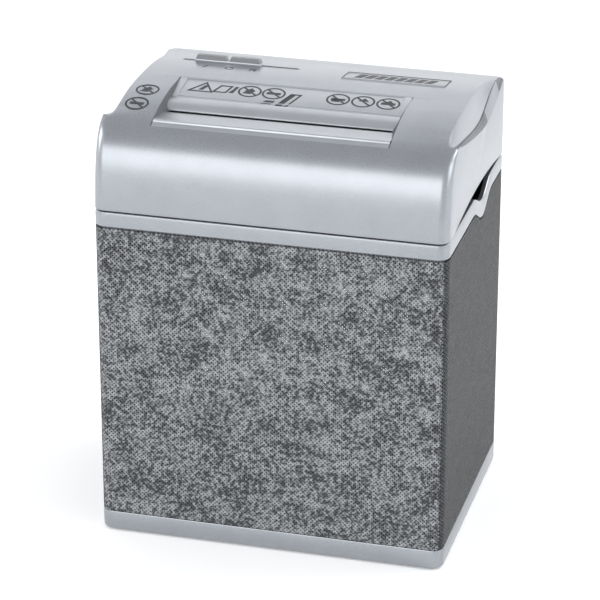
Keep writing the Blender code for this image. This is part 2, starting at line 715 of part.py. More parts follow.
def plunger_x():
    """Middle of the channel's depth, over the rim's tab."""
    return housing_outline(0.0)[15][0] + CHANNEL_DEPTH / 2


def make_cover_screws(steel, head):
    under = HOUSING_FLOOR - GAP
    tip = HOUSING_FLOOR + HOUSING_WALL + SCREW_REACH - MM
    profile = (
        (SCREW_HEAD * 0.8, under - 1.8 * MM), (SCREW_HEAD, under - 1.2 * MM), (SCREW_HEAD, under),
        (SCREW_RADIUS, under), (SCREW_RADIUS, tip),
    )
    for number, (x, y) in enumerate(boss_places(), 1):
        add(f"cover_screw_{number}", turned(profile, "Z", 10), steel, head, (x, y, 0.0), smooth=True)


# ---------------------------------------------------------------- cutters and frame


def disc_gap():
    return DISC_WIDTH + 2 * DISC_SIDE


def disc_radius():
    return (DRUM_CENTRES + DISC_OVERLAP) / 2


def core_radius():
    return DRUM_CENTRES - disc_radius() - DISC_CLEARANCE


def disc_count():
    """Discs on each drum: as many as the entry's width takes."""
    return int((ENTRY_WIDTH - 2 * CUT_MARGIN) / (DISC_WIDTH + disc_gap()))


def cutter_span():
    """Left and right ends of the cut width, centred under the slot."""
    half = disc_count() * (DISC_WIDTH + disc_gap()) / 2
    return ENTRY_X - half, ENTRY_X + half


def plate_faces():
    """Inner faces of the left and right frame plates."""
    left, right = entry_sides()
    return left - 1.5 * MM, right + 1.5 * MM


def drum_places():
    half = DRUM_CENTRES / 2
    return {"front": (SLOT_Y - half, DRUM_HEIGHT), "rear": (SLOT_Y + half, DRUM_HEIGHT)}


def layers():
    """X levels of the three layers of gears outside the right plate."""
    first = plate_faces()[1] + PLATE_WALL + LAYER_START
    second = first + LAYER_1 + LAYER_GAP
    third = second + LAYER_2 + LAYER_GAP
    return (first, first + LAYER_1), (second, second + LAYER_2), (third, third + LAYER_3)


def gear_plate_face():
    return layers()[2][1] + 1.5 * MM


def bush_radius():
    return JOURNAL_RADIUS + RUNNING + BUSH_WALL


def drum_profile(offset, ends):
    """(radius, x) along a drum: journal, core with its discs, journal."""
    left, right = cutter_span()
    core, disc = core_radius(), disc_radius()
    profile = [(JOURNAL_RADIUS, ends[0]), (JOURNAL_RADIUS, left - 2 * MM), (core, left - 2 * MM)]
    for i in range(disc_count()):
        start = left + offset + i * (DISC_WIDTH + disc_gap())
        end = start + DISC_WIDTH
        profile += [(core, start), (disc, start), (disc, end), (core, end)]
    profile += [(core, right + MM), (JOURNAL_RADIUS, right + MM), (JOURNAL_RADIUS, ends[1])]
    return profile


def make_drums(steel, head):
    plates, stack = plate_faces(), layers()
    start = plates[0] - PLATE_WALL - 2 * MM
    for name, offset, end in (
        ("front", (DISC_WIDTH + disc_gap()) / 2, stack[0][1]), ("rear", 0.0, stack[2][1] + GAP),
    ):
        profile = drum_profile(offset, (start, end))
        if name == "rear":
            tip = gear_plate_face() + PLATE_WALL
            profile += [(AXLE_RADIUS, end), (AXLE_RADIUS, tip)]
        y, z = drum_places()[name]
        add(f"cutter_drum_{name}", turned(profile, "X", 16), steel, head, (0.0, y, z), smooth=True)


def make_bushes(bronze, head):
    """Flanged bushes in the frame plates, flanges on the inner faces."""
    bore, radius = JOURNAL_RADIUS + RUNNING, bush_radius()
    collar = radius + BUSH_FLANGE
    for name, (y, z) in drum_places().items():
        for side, face in zip((-1, 1), plate_faces()):
            inner, outer = face - side * (GAP + MM), face + side * (PLATE_WALL + 0.6 * MM)
            flange = face - side * GAP
            profile = (
                (bore, inner), (collar, inner), (collar, flange), (radius, flange), (radius, outer), (bore, outer),
            )
            label = f"bush_{name}_left" if side < 0 else f"bush_{name}_right"
            add(label, turned(profile, "X", 16, wrap=True), bronze, head, (0.0, y, z), smooth=True)


def make_frame_plates(steel, head):
    left, right = plate_faces()
    places = drum_places()
    front = places["front"][0] - disc_radius() - PLATE_MARGIN
    rear = places["rear"][0] + disc_radius() + PLATE_CLEARANCE
    top = DRUM_HEIGHT + disc_radius() + PLATE_CLEARANCE * 0.75
    bush_holes = [circle(bush_radius() + GAP, 16, place) for place in places.values()]
    outline = [(front, PLATE_FOOT), (rear, PLATE_FOOT), (rear, top), (front + PLATE_CLEARANCE, top),
               (front, top - PLATE_CLEARANCE)]
    add("frame_plate_left", prism(outline, "X", left - PLATE_WALL, left, bush_holes), steel, head)

    first, second, motor = gear_centres()
    motor_top = motor[1] + MOTOR_RADIUS + 2 * MM
    motor_rear = motor[0] + MOTOR_RADIUS + 2 * MM
    outline = [(front, PLATE_FOOT), (motor_rear, PLATE_FOOT), (motor_rear, motor_top - PLATE_CLEARANCE),
               (motor_rear - PLATE_CLEARANCE, motor_top), (rear + 2 * PLATE_CLEARANCE, motor_top),
               (rear + PLATE_CLEARANCE, top),
               (front + PLATE_CLEARANCE, top), (front, top - PLATE_CLEARANCE)]
    holes = bush_holes + [circle(MOTOR_SHAFT * 3 + GAP, 16, motor)]
    holes += [circle(AXLE_RADIUS + GAP, 12, place) for place in (first, second)]
    holes += [circle(SCREW_RADIUS + GAP, 10, place) for place in motor_screw_places()]
    add("frame_plate_right", prism(outline, "X", right, right + PLATE_WALL, holes), steel, head)

    face = gear_plate_face()
    tips = [places["rear"], first, second]
    low_y, high_y = places["rear"][0] - 8 * MM, first[0] + 8 * MM
    low_z = min(place[1] for place in tips) - 8 * MM
    high_z = max(place[1] for place in tips) + 8 * MM
    holes = [circle(AXLE_RADIUS + GAP, 12, place) for place in tips]
    outline = rectangle(low_y, low_z, high_y, high_z)
    add("gear_plate", prism(outline, "X", face, face + PLATE_WALL, holes), steel, head)


def make_tie_rods(steel, head):
    left, right = plate_faces()
    places = drum_places()
    spots = {
        "front": (places["front"][0] - disc_radius(), PLATE_FOOT + 2 * ROD_RADIUS),
        "rear": (places["rear"][0] + disc_radius() + 2 * ROD_RADIUS, PLATE_FOOT + 2 * ROD_RADIUS),
        "upper": (places["rear"][0] + disc_radius() + ROD_RADIUS, DRUM_HEIGHT + disc_radius()),
    }
    for name, (y, z) in spots.items():
        profile = ((ROD_RADIUS, left + GAP), (ROD_RADIUS, right - GAP))
        add(f"tie_rod_{name}", turned(profile, "X", 12), steel, head, (0.0, y, z), smooth=True)


def make_combs(plastic, head):
    """Stripper combs: a spine in front of, or behind, the drums, with a finger between each pair of discs."""
    left, right = plate_faces()
    cut_left = cutter_span()[0]
    pitch = DISC_WIDTH + disc_gap()
    for name, side, offset in (("front", -1, pitch / 2), ("rear", 1, 0.0)):
        axis_y = drum_places()[name][0]
        tip = axis_y + side * (core_radius() + 0.6 * MM)
        inner = axis_y + side * (disc_radius() + 0.6 * MM)
        outer = inner + side * COMB_SPINE
        outline = [(left + GAP, outer), (left + GAP, inner)]
        for i in range(disc_count()):
            start = cut_left + offset + i * pitch + DISC_WIDTH + 0.4 * MM
            end = min(start + disc_gap() - 0.8 * MM, right - 2 * MM)
            outline += [(start, inner), (start, tip), (end, tip), (end, inner)]
        outline += [(right - GAP, inner), (right - GAP, outer)]
        bm = prism(outline, "Z", DRUM_HEIGHT - COMB_WALL / 2, DRUM_HEIGHT + COMB_WALL / 2)
        add(f"stripper_comb_{name}", bm, plastic, head)


# ---------------------------------------------------------------- gear train


def involute(angle):
    return math.tan(angle) - angle


def gear_outline(teeth, module, phase):
    """Outline of a spur gear about the origin, with a tooth centred on the phase angle."""
    pitch_radius = module * teeth / 2
    base_radius = pitch_radius * math.cos(PRESSURE)
    outer, root = pitch_radius + ADDENDUM * module, pitch_radius - DEDENDUM * module
    half_tooth = math.pi / (2 * teeth) - BACKLASH / (4 * pitch_radius)

    def half_angle(radius):
        roll = math.acos(min(1.0, base_radius / radius))
        return half_tooth + involute(PRESSURE) - involute(roll)

    flank = [(root, half_angle(root)), (pitch_radius, half_angle(pitch_radius)), (outer, half_angle(outer))]
    points = []
    for tooth in range(teeth):
        centre = phase + 2 * math.pi * tooth / teeth
        sides = [(radius, centre - angle) for radius, angle in flank]
        sides += [(radius, centre + angle) for radius, angle in reversed(flank)]
        points += [(radius * math.cos(angle), radius * math.sin(angle)) for radius, angle in sides]
    return points


def meshed_phase(phase, teeth, other_teeth, centre, other_centre):
    """Phase of the gear at other_centre whose gaps take the teeth of the gear at centre."""
    line = math.atan2(other_centre[1] - centre[1], other_centre[0] - centre[0])
    return line + math.pi - (phase - line) * teeth / other_teeth - math.pi / other_teeth


def mesh_distance(module, teeth, other_teeth):
    return module * (teeth + other_teeth) / 2


def along(place, distance, slope):
    return place[0] + distance * math.cos(slope), place[1] + distance * math.sin(slope)


def gear_centres():
    """Centres of the two compound gears and the motor shaft, from the rear drum backwards."""
    second = along(drum_places()["rear"], mesh_distance(MODULE_3, PINION_3, GEAR_3), GEAR_2_SLOPE)
    first = along(second, mesh_distance(MODULE_2, PINION_2, GEAR_2), GEAR_1_SLOPE)
    motor = along(first, mesh_distance(MODULE_1, PINION_1, GEAR_1), MOTOR_SLOPE)
    return first, second, motor


def compound_gear(name, big, small, big_layer, small_layer, place, material, head):
    """Two gears moulded as one piece: (teeth, module, phase) each, on their layers."""
    obj = add(name, prism(gear_outline(*big), "X", *big_layer), material, head, (0.0, *place))
    join(obj, prism(gear_outline(*small), "X", big_layer[1] - MM, small_layer[1]), (0.0, *place))
    bore = ((AXLE_RADIUS + RUNNING, big_layer[0] - MM), (AXLE_RADIUS + RUNNING, small_layer[1] + MM))
    cut(obj, turned(bore, "X", 16), (0.0, *place))


def make_gears(nylon, steel, head):
    stack = layers()
    first, second, motor = gear_centres()
    drums = drum_places()
    sync_module = DRUM_CENTRES / SYNC_TEETH
    shaft_hole = circle(JOURNAL_RADIUS + GAP, 16)

    outline = gear_outline(GEAR_3, MODULE_3, 0.0)
    add("drive_gear", prism(outline, "X", *stack[2], [shaft_hole]), nylon, head, (0.0, *drums["rear"]))
    pinion_3 = meshed_phase(0.0, GEAR_3, PINION_3, drums["rear"], second)
    big, small = (GEAR_2, MODULE_2, 0.0), (PINION_3, MODULE_3, pinion_3)
    compound_gear("reduction_gear_2", big, small, stack[1], stack[2], second, nylon, head)
    pinion_2 = meshed_phase(0.0, GEAR_2, PINION_2, second, first)
    big, small = (GEAR_1, MODULE_1, 0.0), (PINION_2, MODULE_2, pinion_2)
    compound_gear("reduction_gear_1", big, small, stack[0], stack[1], first, nylon, head)
    pinion_1 = meshed_phase(0.0, GEAR_1, PINION_1, first, motor)
    outline = gear_outline(PINION_1, MODULE_1, pinion_1)
    bore = circle(MOTOR_SHAFT + GAP, 12)
    add("motor_pinion", prism(outline, "X", *stack[0], [bore]), steel, head, (0.0, *motor))

    outline = gear_outline(SYNC_TEETH, sync_module, 0.0)
    add("sync_gear_rear", prism(outline, "X", *stack[0], [shaft_hole]), steel, head, (0.0, *drums["rear"]))
    phase = meshed_phase(0.0, SYNC_TEETH, SYNC_TEETH, drums["rear"], drums["front"])
    outline = gear_outline(SYNC_TEETH, sync_module, phase)
    add("sync_gear_front", prism(outline, "X", *stack[0], [shaft_hole]), steel, head, (0.0, *drums["front"]))

    start, end = plate_faces()[1], gear_plate_face() + PLATE_WALL
    for number, (y, z) in enumerate((first, second), 1):
        profile = ((AXLE_RADIUS, start), (AXLE_RADIUS, end))
        add(f"gear_axle_{number}", turned(profile, "X", 16), steel, head, (0.0, y, z), smooth=True)


def motor_screw_places():
    spread = MOTOR_RADIUS * 0.66
    y, z = gear_centres()[2]
    return (y, z + spread), (y, z - spread)


def make_motor(steel, zinc, head):
    face = plate_faces()[1] - GAP
    back = face - MOTOR_LENGTH
    boss = MOTOR_SHAFT * 3
    bore = MOTOR_SHAFT + RUNNING
    profile = (
        (bore, face + PLATE_WALL * 0.8), (boss, face + PLATE_WALL * 0.8), (boss, face),
        (MOTOR_RADIUS - MM, face),
        (MOTOR_RADIUS, face - MM), (MOTOR_RADIUS, back + 8 * MM), (MOTOR_RADIUS - 3 * MM, back + 5 * MM),
        (MOTOR_RADIUS - 3 * MM, back + MM), (boss, back), (bore, back),
    )
    place = (0.0, *gear_centres()[2])
    motor = add("motor", turned(profile, "X", 24, wrap=True), zinc, head, place, smooth=True)
    depth = 8 * MM
    for spot in motor_screw_places():
        hole = turned(((SCREW_RADIUS + GAP, face - depth), (SCREW_RADIUS + GAP, face + MM)), "X", 10)
        cut(motor, hole, (0.0, *spot))
    shaft = ((MOTOR_SHAFT, back - MM), (MOTOR_SHAFT, layers()[0][1] + GAP))
    add("motor_shaft", turned(shaft, "X", 16), steel, head, place, smooth=True)
    outer = plate_faces()[1] + PLATE_WALL + GAP
    profile = ((SCREW_RADIUS, face - depth + MM), (SCREW_RADIUS, outer), (SCREW_HEAD * 0.8, outer),
               (SCREW_HEAD * 0.8, outer + 0.7 * MM))
    for number, spot in enumerate(motor_screw_places(), 1):
        add(f"motor_screw_{number}", turned(profile, "X", 10), steel, head, (0.0, *spot), smooth=True)


# ---------------------------------------------------------------- sensor, interlock, electrics


def sensor_pivot():
    return SLOT_Y + SENSOR_PIVOT_BACK, crown_height(SLOT_Y) - SENSOR_PIVOT_DEPTH


def make_sensor(black, steel, head):
    """Lever across the slot, its pin, and the forked switch that carries the pin."""
    y, z = sensor_pivot()
    hub, hole = 2.8 * MM, PIN_RADIUS + GAP
    reach, tail = SENSOR_PIVOT_BACK + 0.8 * MM, 4.2 * MM
    angles = [math.radians(a) for a in range(-70, 191, 20)]
    outline = [(hub * math.cos(a), hub * math.sin(a)) for a in angles]
    outline += [(-reach, -3.0 * MM), (-reach - 1.2 * MM, -4.0 * MM), (-reach, -5.2 * MM)]
    lever = prism(outline, "X", -LEVER_WALL / 2, LEVER_WALL / 2, [circle(hole, 10)])
    obj = add("sensor_lever", lever, black, head, (SENSOR_X, y, z))
    tail_top = (-LEVER_WALL / 2, 1.8 * MM, -0.8 * MM), (LEVER_WALL / 2, tail, 0.8 * MM)
    join(obj, block(*tail_top), (SENSOR_X, y, z), math.radians(50))
    ear_in, ear_out = LEVER_WALL / 2 + 0.8 * MM, LEVER_WALL / 2 + 3.6 * MM
    front, base, rear = y - 2.4 * MM, y + 4.8 * MM, y + 11 * MM
    outline = [
        (-ear_out, front), (-ear_in, front), (-ear_in, base), (ear_in, base), (ear_in, front),
        (ear_out, front),
        (ear_out, rear), (-ear_out, rear),
    ]
    bm = prism(outline, "Z", z - 5 * MM, z + 4 * MM)
    switch = add("sensor_switch", bm, black, head, (SENSOR_X, 0.0, 0.0))
    bore = turned(((PIN_RADIUS + GAP, -2 * ear_out), (PIN_RADIUS + GAP, 2 * ear_out)), "X", 12)
    cut(switch, bore, (SENSOR_X, y, z))
    pin = turned(((PIN_RADIUS, -ear_out - MM), (PIN_RADIUS, ear_out + MM)), "X", 12)
    add("sensor_pin", pin, steel, head, (SENSOR_X, y, z), smooth=True)


def make_interlock(black, red, head):
    """Plunger that the rim's tab keeps up, and the switch above it."""
    tip = TAB_TOP + GAP
    roof = CHANNEL_ROOF + HOUSING_WALL + GAP
    switch_foot = HOUSING_TOP + GAP
    top = switch_foot - PLUNGER_TRAVEL - 0.5 * MM
    profile = (
        (PLUNGER_RADIUS * 0.6, tip), (PLUNGER_RADIUS, tip + 0.8 * MM), (PLUNGER_RADIUS, roof),
        (2 * PLUNGER_RADIUS, roof), (2 * PLUNGER_RADIUS, roof + 1.4 * MM), (PLUNGER_RADIUS, roof + 1.4 * MM),
        (PLUNGER_RADIUS, top),
    )
    place = (plunger_x(), INTERLOCK_Y, 0.0)
    add("interlock_plunger", turned(profile, "Z", 12), red, head, place, smooth=True)
    low = (place[0] - 3.4 * MM, INTERLOCK_Y - 10 * MM, switch_foot)
    high = (place[0] + 7 * MM, INTERLOCK_Y + 10 * MM, switch_foot + 9 * MM)
    add("interlock_switch", block(low, high), black, head)


def make_electrics(board_green, black, yellow, head):
    low, high = board_corners()
    add("control_board", block((*low, 0.0), (*high, BOARD_WALL)), board_green, head)
    top = BOARD_WALL + GAP
    relay = (low[0] + 14 * MM, low[1] + 12 * MM, top)
    add("relay", block(relay, (relay[0] + 20 * MM, relay[1] + 16 * MM, top + 16 * MM)), black, head)
    x, y = high[0] - 24 * MM, high[1] - 16 * MM
    outline = rectangle(x - 14 * MM, top, x + 14 * MM, top + 18 * MM)
    capacitor = prism(outline, "Y", y - 5.5 * MM, y + 5.5 * MM)
    add("suppression_capacitor", capacitor, yellow, head)


# ---------------------------------------------------------------- the shredder


def make_shredder():
    clear_scene()
    silver = look("silver_plastic", (0.60, 0.62, 0.65), 0.32, 0.35)
    guide_silver = look("guide_plastic", (0.66, 0.68, 0.71), 0.3, 0.35)
    black = look("black_plastic", (0.02, 0.02, 0.022), 0.45)
    grey = look("switch_plastic", (0.45, 0.47, 0.5), 0.4, 0.2)
    rubber = look("rubber", (0.03, 0.03, 0.03), 0.9)
    mesh_steel = look("mesh_steel", (0.12, 0.125, 0.13), 0.5, 0.4)
    plate_steel = look("plate_steel", (0.55, 0.56, 0.57), 0.4, 1.0)
    bright_steel = look("bright_steel", (0.62, 0.63, 0.64), 0.25, 1.0)
    bronze = look("bush_bronze", (0.55, 0.38, 0.16), 0.45, 0.9)
    nylon = look("gear_nylon", (0.75, 0.74, 0.68), 0.5)
    zinc = look("motor_zinc", (0.45, 0.46, 0.47), 0.45, 0.8)
    green = look("board_green", (0.03, 0.16, 0.07), 0.5)
    red = look("plunger_red", (0.5, 0.05, 0.04), 0.4)
    yellow = look("capacitor_yellow", (0.75, 0.55, 0.08), 0.4)

    bin_frame = empty("bin", (0.0, 0.0, 0.0))
    make_base_tray(silver, bin_frame)
    make_feet(rubber, bin_frame)
    make_bin_mesh(mesh_steel, bin_frame)
    make_bin_rim(silver, bin_frame)

    head = empty("head", (0.0, 0.0, SEAT))
    make_top_cover(silver, head)
    make_badge(guide_silver, head)
    make_cord_gland(black, head)
    make_entry_panel(guide_silver, head)
    make_front_guide(guide_silver, head)
    make_switch_knob(grey, head)
    make_mode_switch(black, head)
    make_lower_housing(black, head)
    make_cover_screws(bright_steel, head)
    make_drums(bright_steel, head)
    make_bushes(bronze, head)
    make_frame_plates(plate_steel, head)
    make_tie_rods(plate_steel, head)
    make_combs(black, head)
    make_gears(nylon, bright_steel, head)
    make_motor(bright_steel, zinc, head)
    make_sensor(black, bright_steel, head)
    make_interlock(black, red, head)
    make_electrics(green, black, yellow, head)


make_shredder()
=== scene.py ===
import json
import math

import bmesh
import bpy
from mathutils import Matrix, Vector


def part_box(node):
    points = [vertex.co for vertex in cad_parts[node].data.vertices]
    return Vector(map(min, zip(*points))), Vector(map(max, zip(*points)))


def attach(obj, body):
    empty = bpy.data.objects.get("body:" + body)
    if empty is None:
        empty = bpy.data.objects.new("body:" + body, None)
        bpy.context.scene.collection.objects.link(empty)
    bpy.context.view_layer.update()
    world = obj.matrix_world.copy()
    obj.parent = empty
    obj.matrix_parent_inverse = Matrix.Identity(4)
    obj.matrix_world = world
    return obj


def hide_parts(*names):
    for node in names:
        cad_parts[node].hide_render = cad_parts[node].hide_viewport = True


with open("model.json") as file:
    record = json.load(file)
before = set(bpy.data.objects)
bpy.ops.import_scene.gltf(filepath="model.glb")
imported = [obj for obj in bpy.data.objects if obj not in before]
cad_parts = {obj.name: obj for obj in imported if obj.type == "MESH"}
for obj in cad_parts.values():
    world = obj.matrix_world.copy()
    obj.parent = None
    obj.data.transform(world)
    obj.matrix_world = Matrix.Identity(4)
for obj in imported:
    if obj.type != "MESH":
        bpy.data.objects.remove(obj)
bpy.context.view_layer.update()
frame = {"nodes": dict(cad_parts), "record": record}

# A small paper shredder: silver plastic head on a bin of expanded-metal mesh. The sizes below are in
# millimetres in the object's frame: X right, Y back, Z up, and the origin under the middle of the base.
MM = 0.001


def cad_box(node):
    """Lowest and highest corner of a CAD node, in millimetres."""
    low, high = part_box(node)
    return Vector(low) / MM, Vector(high) / MM


COVER_HIGH = cad_box("top_cover")[1]
RIM_HIGH = cad_box("bin_rim")[1]
BASE_LOW = cad_box("base_tray")[0]
MESH_LOW, MESH_HIGH = cad_box("bin_mesh")
PANEL_LOW, PANEL_HIGH = cad_box("entry_panel")
GUIDE_LOW, GUIDE_HIGH = cad_box("front_guide")
KNOB_LOW, KNOB_HIGH = cad_box("switch_knob")
BADGE_LOW, BADGE_HIGH = cad_box("badge_plate")
SENSOR_LOW, SENSOR_HIGH = cad_box("sensor_lever")

EDGE_GAP = 0.3  # between mouldings that meet
# Pieces of a smooth line between two of its points
HOOD_STEPS, SHOULDER_STEPS, BAR_STEPS, GUIDE_STEPS = 5, 6, 6, 4
SHARP_EDGE = math.radians(28)
SHARP_CAD_EDGE = math.radians(30)
BEVEL_EDGE = math.radians(40)
WELD = 0.00002  # metres

# The head's cover
HALF_WIDTH = COVER_HIGH.x
HALF_DEPTH = COVER_HIGH.y
SEAT = 236.0
COVER_FOOT = 236.9  # leaves a shadow line above the rim
CORNER = 7.75
COVER_WALL = 2.2
ARCH_RISE, ARCH_Y, ARCH_HALF, ARCH_STEPS = 6.0, 3.0, 76.0, 24
# Side view of the hood, from its front foot over the crown to its back foot: (y, z)
HOOD = (
    (-90.0, COVER_FOOT), (-89.2, 248.0), (-87.9, 259.0), (-85.7, 269.5), (-82.7, 278.5), (-79.0, 285.0),
    (-74.0, 290.0), (-68.0, 293.0), (-60.0, 295.6), (-45.0, 299.3), (-29.0, 301.7), (-13.0, 302.4),
    (3.0, 302.5), (19.0, 302.0), (35.0, 300.4), (51.0, 297.8), (67.0, 294.7), (80.0, 292.5),
    (86.0, 291.0), (88.9, 288.6), (90.0, 284.0), (90.0, 260.0), (90.0, COVER_FOOT),
)
# Heights of the crease and of the side wall's top edge along the depth: (y, z)
CREASE = (
    (-64.0, 294.4), (-51.0, 290.5), (-29.0, 287.0), (-7.0, 284.0), (6.0, 283.0), (20.0, 283.2),
    (32.0, 286.2), (44.0, 290.3), (56.0, 293.6), (68.0, 294.2), (80.0, 292.4),
)
SIDE_TOP = (
    (-64.0, 294.4), (-57.0, 291.8), (-33.0, 286.0), (-6.0, 281.2), (17.0, 278.2), (35.0, 278.4),
    (49.0, 281.0), (63.0, 285.0), (76.0, 289.5), (84.0, 291.4),
)
# Ways round the corner, 0 on the crown and 1 on the side wall, at which the cover has a column of points
CREASE_SHARE = 0.56
SHOULDER_SHARES = (0.0, 0.07, 0.16, 0.28, 0.42, 0.52, CREASE_SHARE, 0.6, 0.72, 0.84, 0.93, 0.98, 1.0)
SHOULDER_CURVE = 1.25
CREASE_GROOVE = 1.4
CREASE_START = CREASE[0][0]
CROWN_FLOOR = 286.0  # the hood's points above this are its crown, and those below its front and back
# The ledges are painted darker as shade; these two numbers bound where that painted shade goes.
LEDGE_FLOOR, LEDGE_TILT = 276.0, 0.4  # the dark ledge lies above this and faces up at least this much
COVER_RADIUS = 0.35

# The paper entry
CHEEK_LEAN, CHEEK_DROP, CHEEK_WALL = 5.5, 7.5, 0.8
CHEEK_TUCK = 0.15  # how far a cheek's edge lies below the crown
CHEEK_SPREAD = 4.6  # how much wider the trough is at its top than the panel, at each end
ENTRY_LEFT = PANEL_LOW.x - CHEEK_SPREAD
ENTRY_RIGHT = PANEL_HIGH.x + CHEEK_SPREAD
LIP_Y = GUIDE_LOW.y - EDGE_GAP
CREASE_Y = PANEL_HIGH.y + EDGE_GAP
STEP_Y, STEP_Z = -28.8, 298.4  # where the panel steps down to the rounded bar behind the slot
STEP_DEPTH, STEP_GROOVE = 0.9, 0.6
SLOT_FRONT, SLOT_BACK = -48.5, -43.7
SLOT_Z = 294.2
THROAT_TOP = 293.2
THROAT_WALL = 2.0
LIP_STEP_Y = -66.4
ENTRY_GAP = 0.6
SLOT_EDGE = 0.7
# Side view of the rounded bar, from the step to the slot, and the panel's underside: (y, z)
PANEL_BAR = ((-29.9, 298.3), (-34.5, 298.2), (-39.0, 297.2), (-42.6, 295.3), (SLOT_BACK, 293.8))
PANEL_FOOT = ((STEP_Y, 293.0), (CREASE_Y - EDGE_GAP, 299.0))
LIP_WIDTH, LIP_SINK, LIP_RISE, LIP_CREST = 0.8, 0.5, 0.7, 1.0
GUIDE_MIDDLE_Y, GUIDE_FOOT_Z = -58.0, 289.0
SENSOR_WINDOW_Z = (271.0, 289.0)
SENSOR_ROOM = 1.6
SMALL_RADIUS = 0.2

# Printed marks
PRINT_RISE, MARK_LINE, MARK_ROW_Y = 0.12, 1.3, -14.0
SHEET_MARK_PLACE = (-7.0, -21.5)
RING_MARK_PLACES = ((-99.0, -30.0), (-100.5, -49.0))  # on the crown, left of the entry
RING_MARK_SINK, LETTER_SINK = -0.03, -0.02
LETTER_LINE, LETTER_PITCH = 0.9, 16.7
LETTER_SHIFT, LETTER_DROP = 4.5, 15.5  # from the switch to the middle of its marks
BORDER_INSET, BORDER_LINE, BORDER_RISE = 1.2, 0.9, 0.3
MITRE_LIMIT = 0.4

# The slide switch and the badge
SWITCH_X, SWITCH_Y = (KNOB_LOW.x + KNOB_HIGH.x) / 2, 40.5
SLIT_LEFT, SLIT_RIGHT, SLIT_HALF = -32.5, 49.5, 1.8
SLIT_CUT = (-4.0, 6.0)
SLIT_RIM_OFFSET, SLIT_RIM_LINE, SLIT_RIM_RISE = 0.35, 0.5, 0.2
WELL_MARGIN, WELL_FOOT, WELL_GAP = 1.0, -4.4, 0.1
KNOB_TOP, PAD_FOOT, RIB_PITCH, RIB_DEPTH = 4.65, 1.7, 1.4, 0.4
KNOB_HALF, KNOB_HALF_DEPTH, KNOB_FLOOR, KNOB_DRAFT = 23.5, 3.1, 0.35, 0.6
RIB_SHAPE = (0.55, 0.7, 0.85)  # where a groove starts, reaches its floor and leaves it, in rib pitches
PAD_HALF, PAD_SLOPE, PAD_INSET = 11.0, 1.2, 0.2
STEM_HALF_W, STEM_HALF_D, STEM_SPAN = 3.0, 1.0, (-4.0, 0.8)
SLIDER_RADIUS, PAD_RADIUS, STEM_RADIUS = 0.3, 0.08, 0.15
BADGE_X, BADGE_Y = (BADGE_LOW.x + BADGE_HIGH.x) / 2, 35.3
BADGE_HALF_W, BADGE_HALF_D = 36.0, 11.0
BADGE_CUT = (-0.7, 6.0)
BADGE_PLATE, BADGE_RADIUS = (-0.68, 0.15), 0.12
BADGE_FIT, BADGE_LINE_INSET, BADGE_LINE = 0.2, 0.5, 0.6
BAR_COUNT, BAR_PITCH, BAR_LEAN, BAR_REACH = 8, 6.9, 2.6, 5.4
BAR_WIDE, BAR_NARROW = 2.7, 2.3

# The bin
BIN_CORNER = 8.0
NOTCH_Y, NOTCH_HALF = 20.0, 29.0
NOTCH_TOP_DIP, NOTCH_FOOT_DIP = 9.0, 11.0
RIM_HEIGHT, RIM_SKIRT = 10.4, 8.6
RIM_WALL = 3.4
TAB_Y, TAB_HALF, TAB_REACH, TAB_HEIGHT, TAB_DROP = -30.0, 3.0, 6.6, 12.0, 6.0
BASE_TOP, BASE_UPSTAND, BASE_FLOOR = 15.0, 9.0, 4.5
MESH_INSET, MESH_PITCH, STRAND_SHARE, STRAND_THICKNESS = 0.9, 2.8, 0.56, 0.8
MESH_TOP_GAP = 0.9
LEAST_RADIUS = 0.3

# Finishes. Noise lies mostly between these two values.
NOISE_LOW, NOISE_HIGH = 0.3, 0.7
GRAIN_DEPTH = 0.0002  # metres
GLOSS_DRIFT = 0.12
DRIFT_SIZE = 30  # how many grains across a patch of colour drift is
STEEL_STREAKS = (1.0, 1.0, 8.0)
# name, colour, roughness, metallic, coat, colour drift, grains per metre, grain strength
FINISHES = (
    ("silver_plastic", (0.315, 0.33, 0.354), 0.3, 0.85, 0.1, 0.03, 1800.0, 0.04),
    ("guide_plastic", (0.4, 0.415, 0.44), 0.32, 0.8, 0.1, 0.03, 1800.0, 0.04),
    ("black_plastic", (0.012, 0.012, 0.013), 0.45, 0.0, 0.0, 0.2, 1200.0, 0.2),
    ("switch_plastic", (0.2, 0.205, 0.215), 0.4, 0.2, 0.0, 0.1, 1500.0, 0.15),
    ("rubber", (0.02, 0.02, 0.02), 0.75, 0.0, 0.0, 0.2, 700.0, 0.3),
    ("bush_bronze", (0.45, 0.29, 0.12), 0.4, 0.9, 0.0, 0.12, 500.0, 0.1),
    ("gear_nylon", (0.75, 0.73, 0.66), 0.45, 0.0, 0.0, 0.05, 500.0, 0.1),
    ("motor_zinc", (0.42, 0.43, 0.44), 0.4, 0.85, 0.0, 0.08, 600.0, 0.12),
    ("board_green", (0.02, 0.14, 0.06), 0.4, 0.0, 0.2, 0.15, 400.0, 0.1),
    ("plunger_red", (0.5, 0.03, 0.02), 0.4, 0.0, 0.0, 0.1, 700.0, 0.1),
    ("capacitor_yellow", (0.75, 0.5, 0.05), 0.4, 0.0, 0.0, 0.08, 600.0, 0.1),
    # Painted shade: a darker copy of the silver for the ledges below the creases.
    ("shoulder_grey", (0.15, 0.155, 0.167), 0.36, 0.7, 0.0, 0.04, 1800.0, 0.04),
    # Painted shade: dark grey for the entry's end walls, standing in for the shade there.
    ("cheek_grey", (0.07, 0.073, 0.08), 0.4, 0.3, 0.0, 0.08, 1800.0, 0.05),
    ("dark_print", (0.025, 0.026, 0.03), 0.5, 0.0, 0.0, 0.25, 2500.0, 0.05),
)
STREAKED_FINISHES = (
    ("plate_steel", (0.5, 0.5, 0.49), 0.36, 0.9, 0.0, 0.08, 600.0, 0.1),
    ("bright_steel", (0.62, 0.62, 0.6), 0.25, 1.0, 0.0, 0.06, 900.0, 0.08),
)
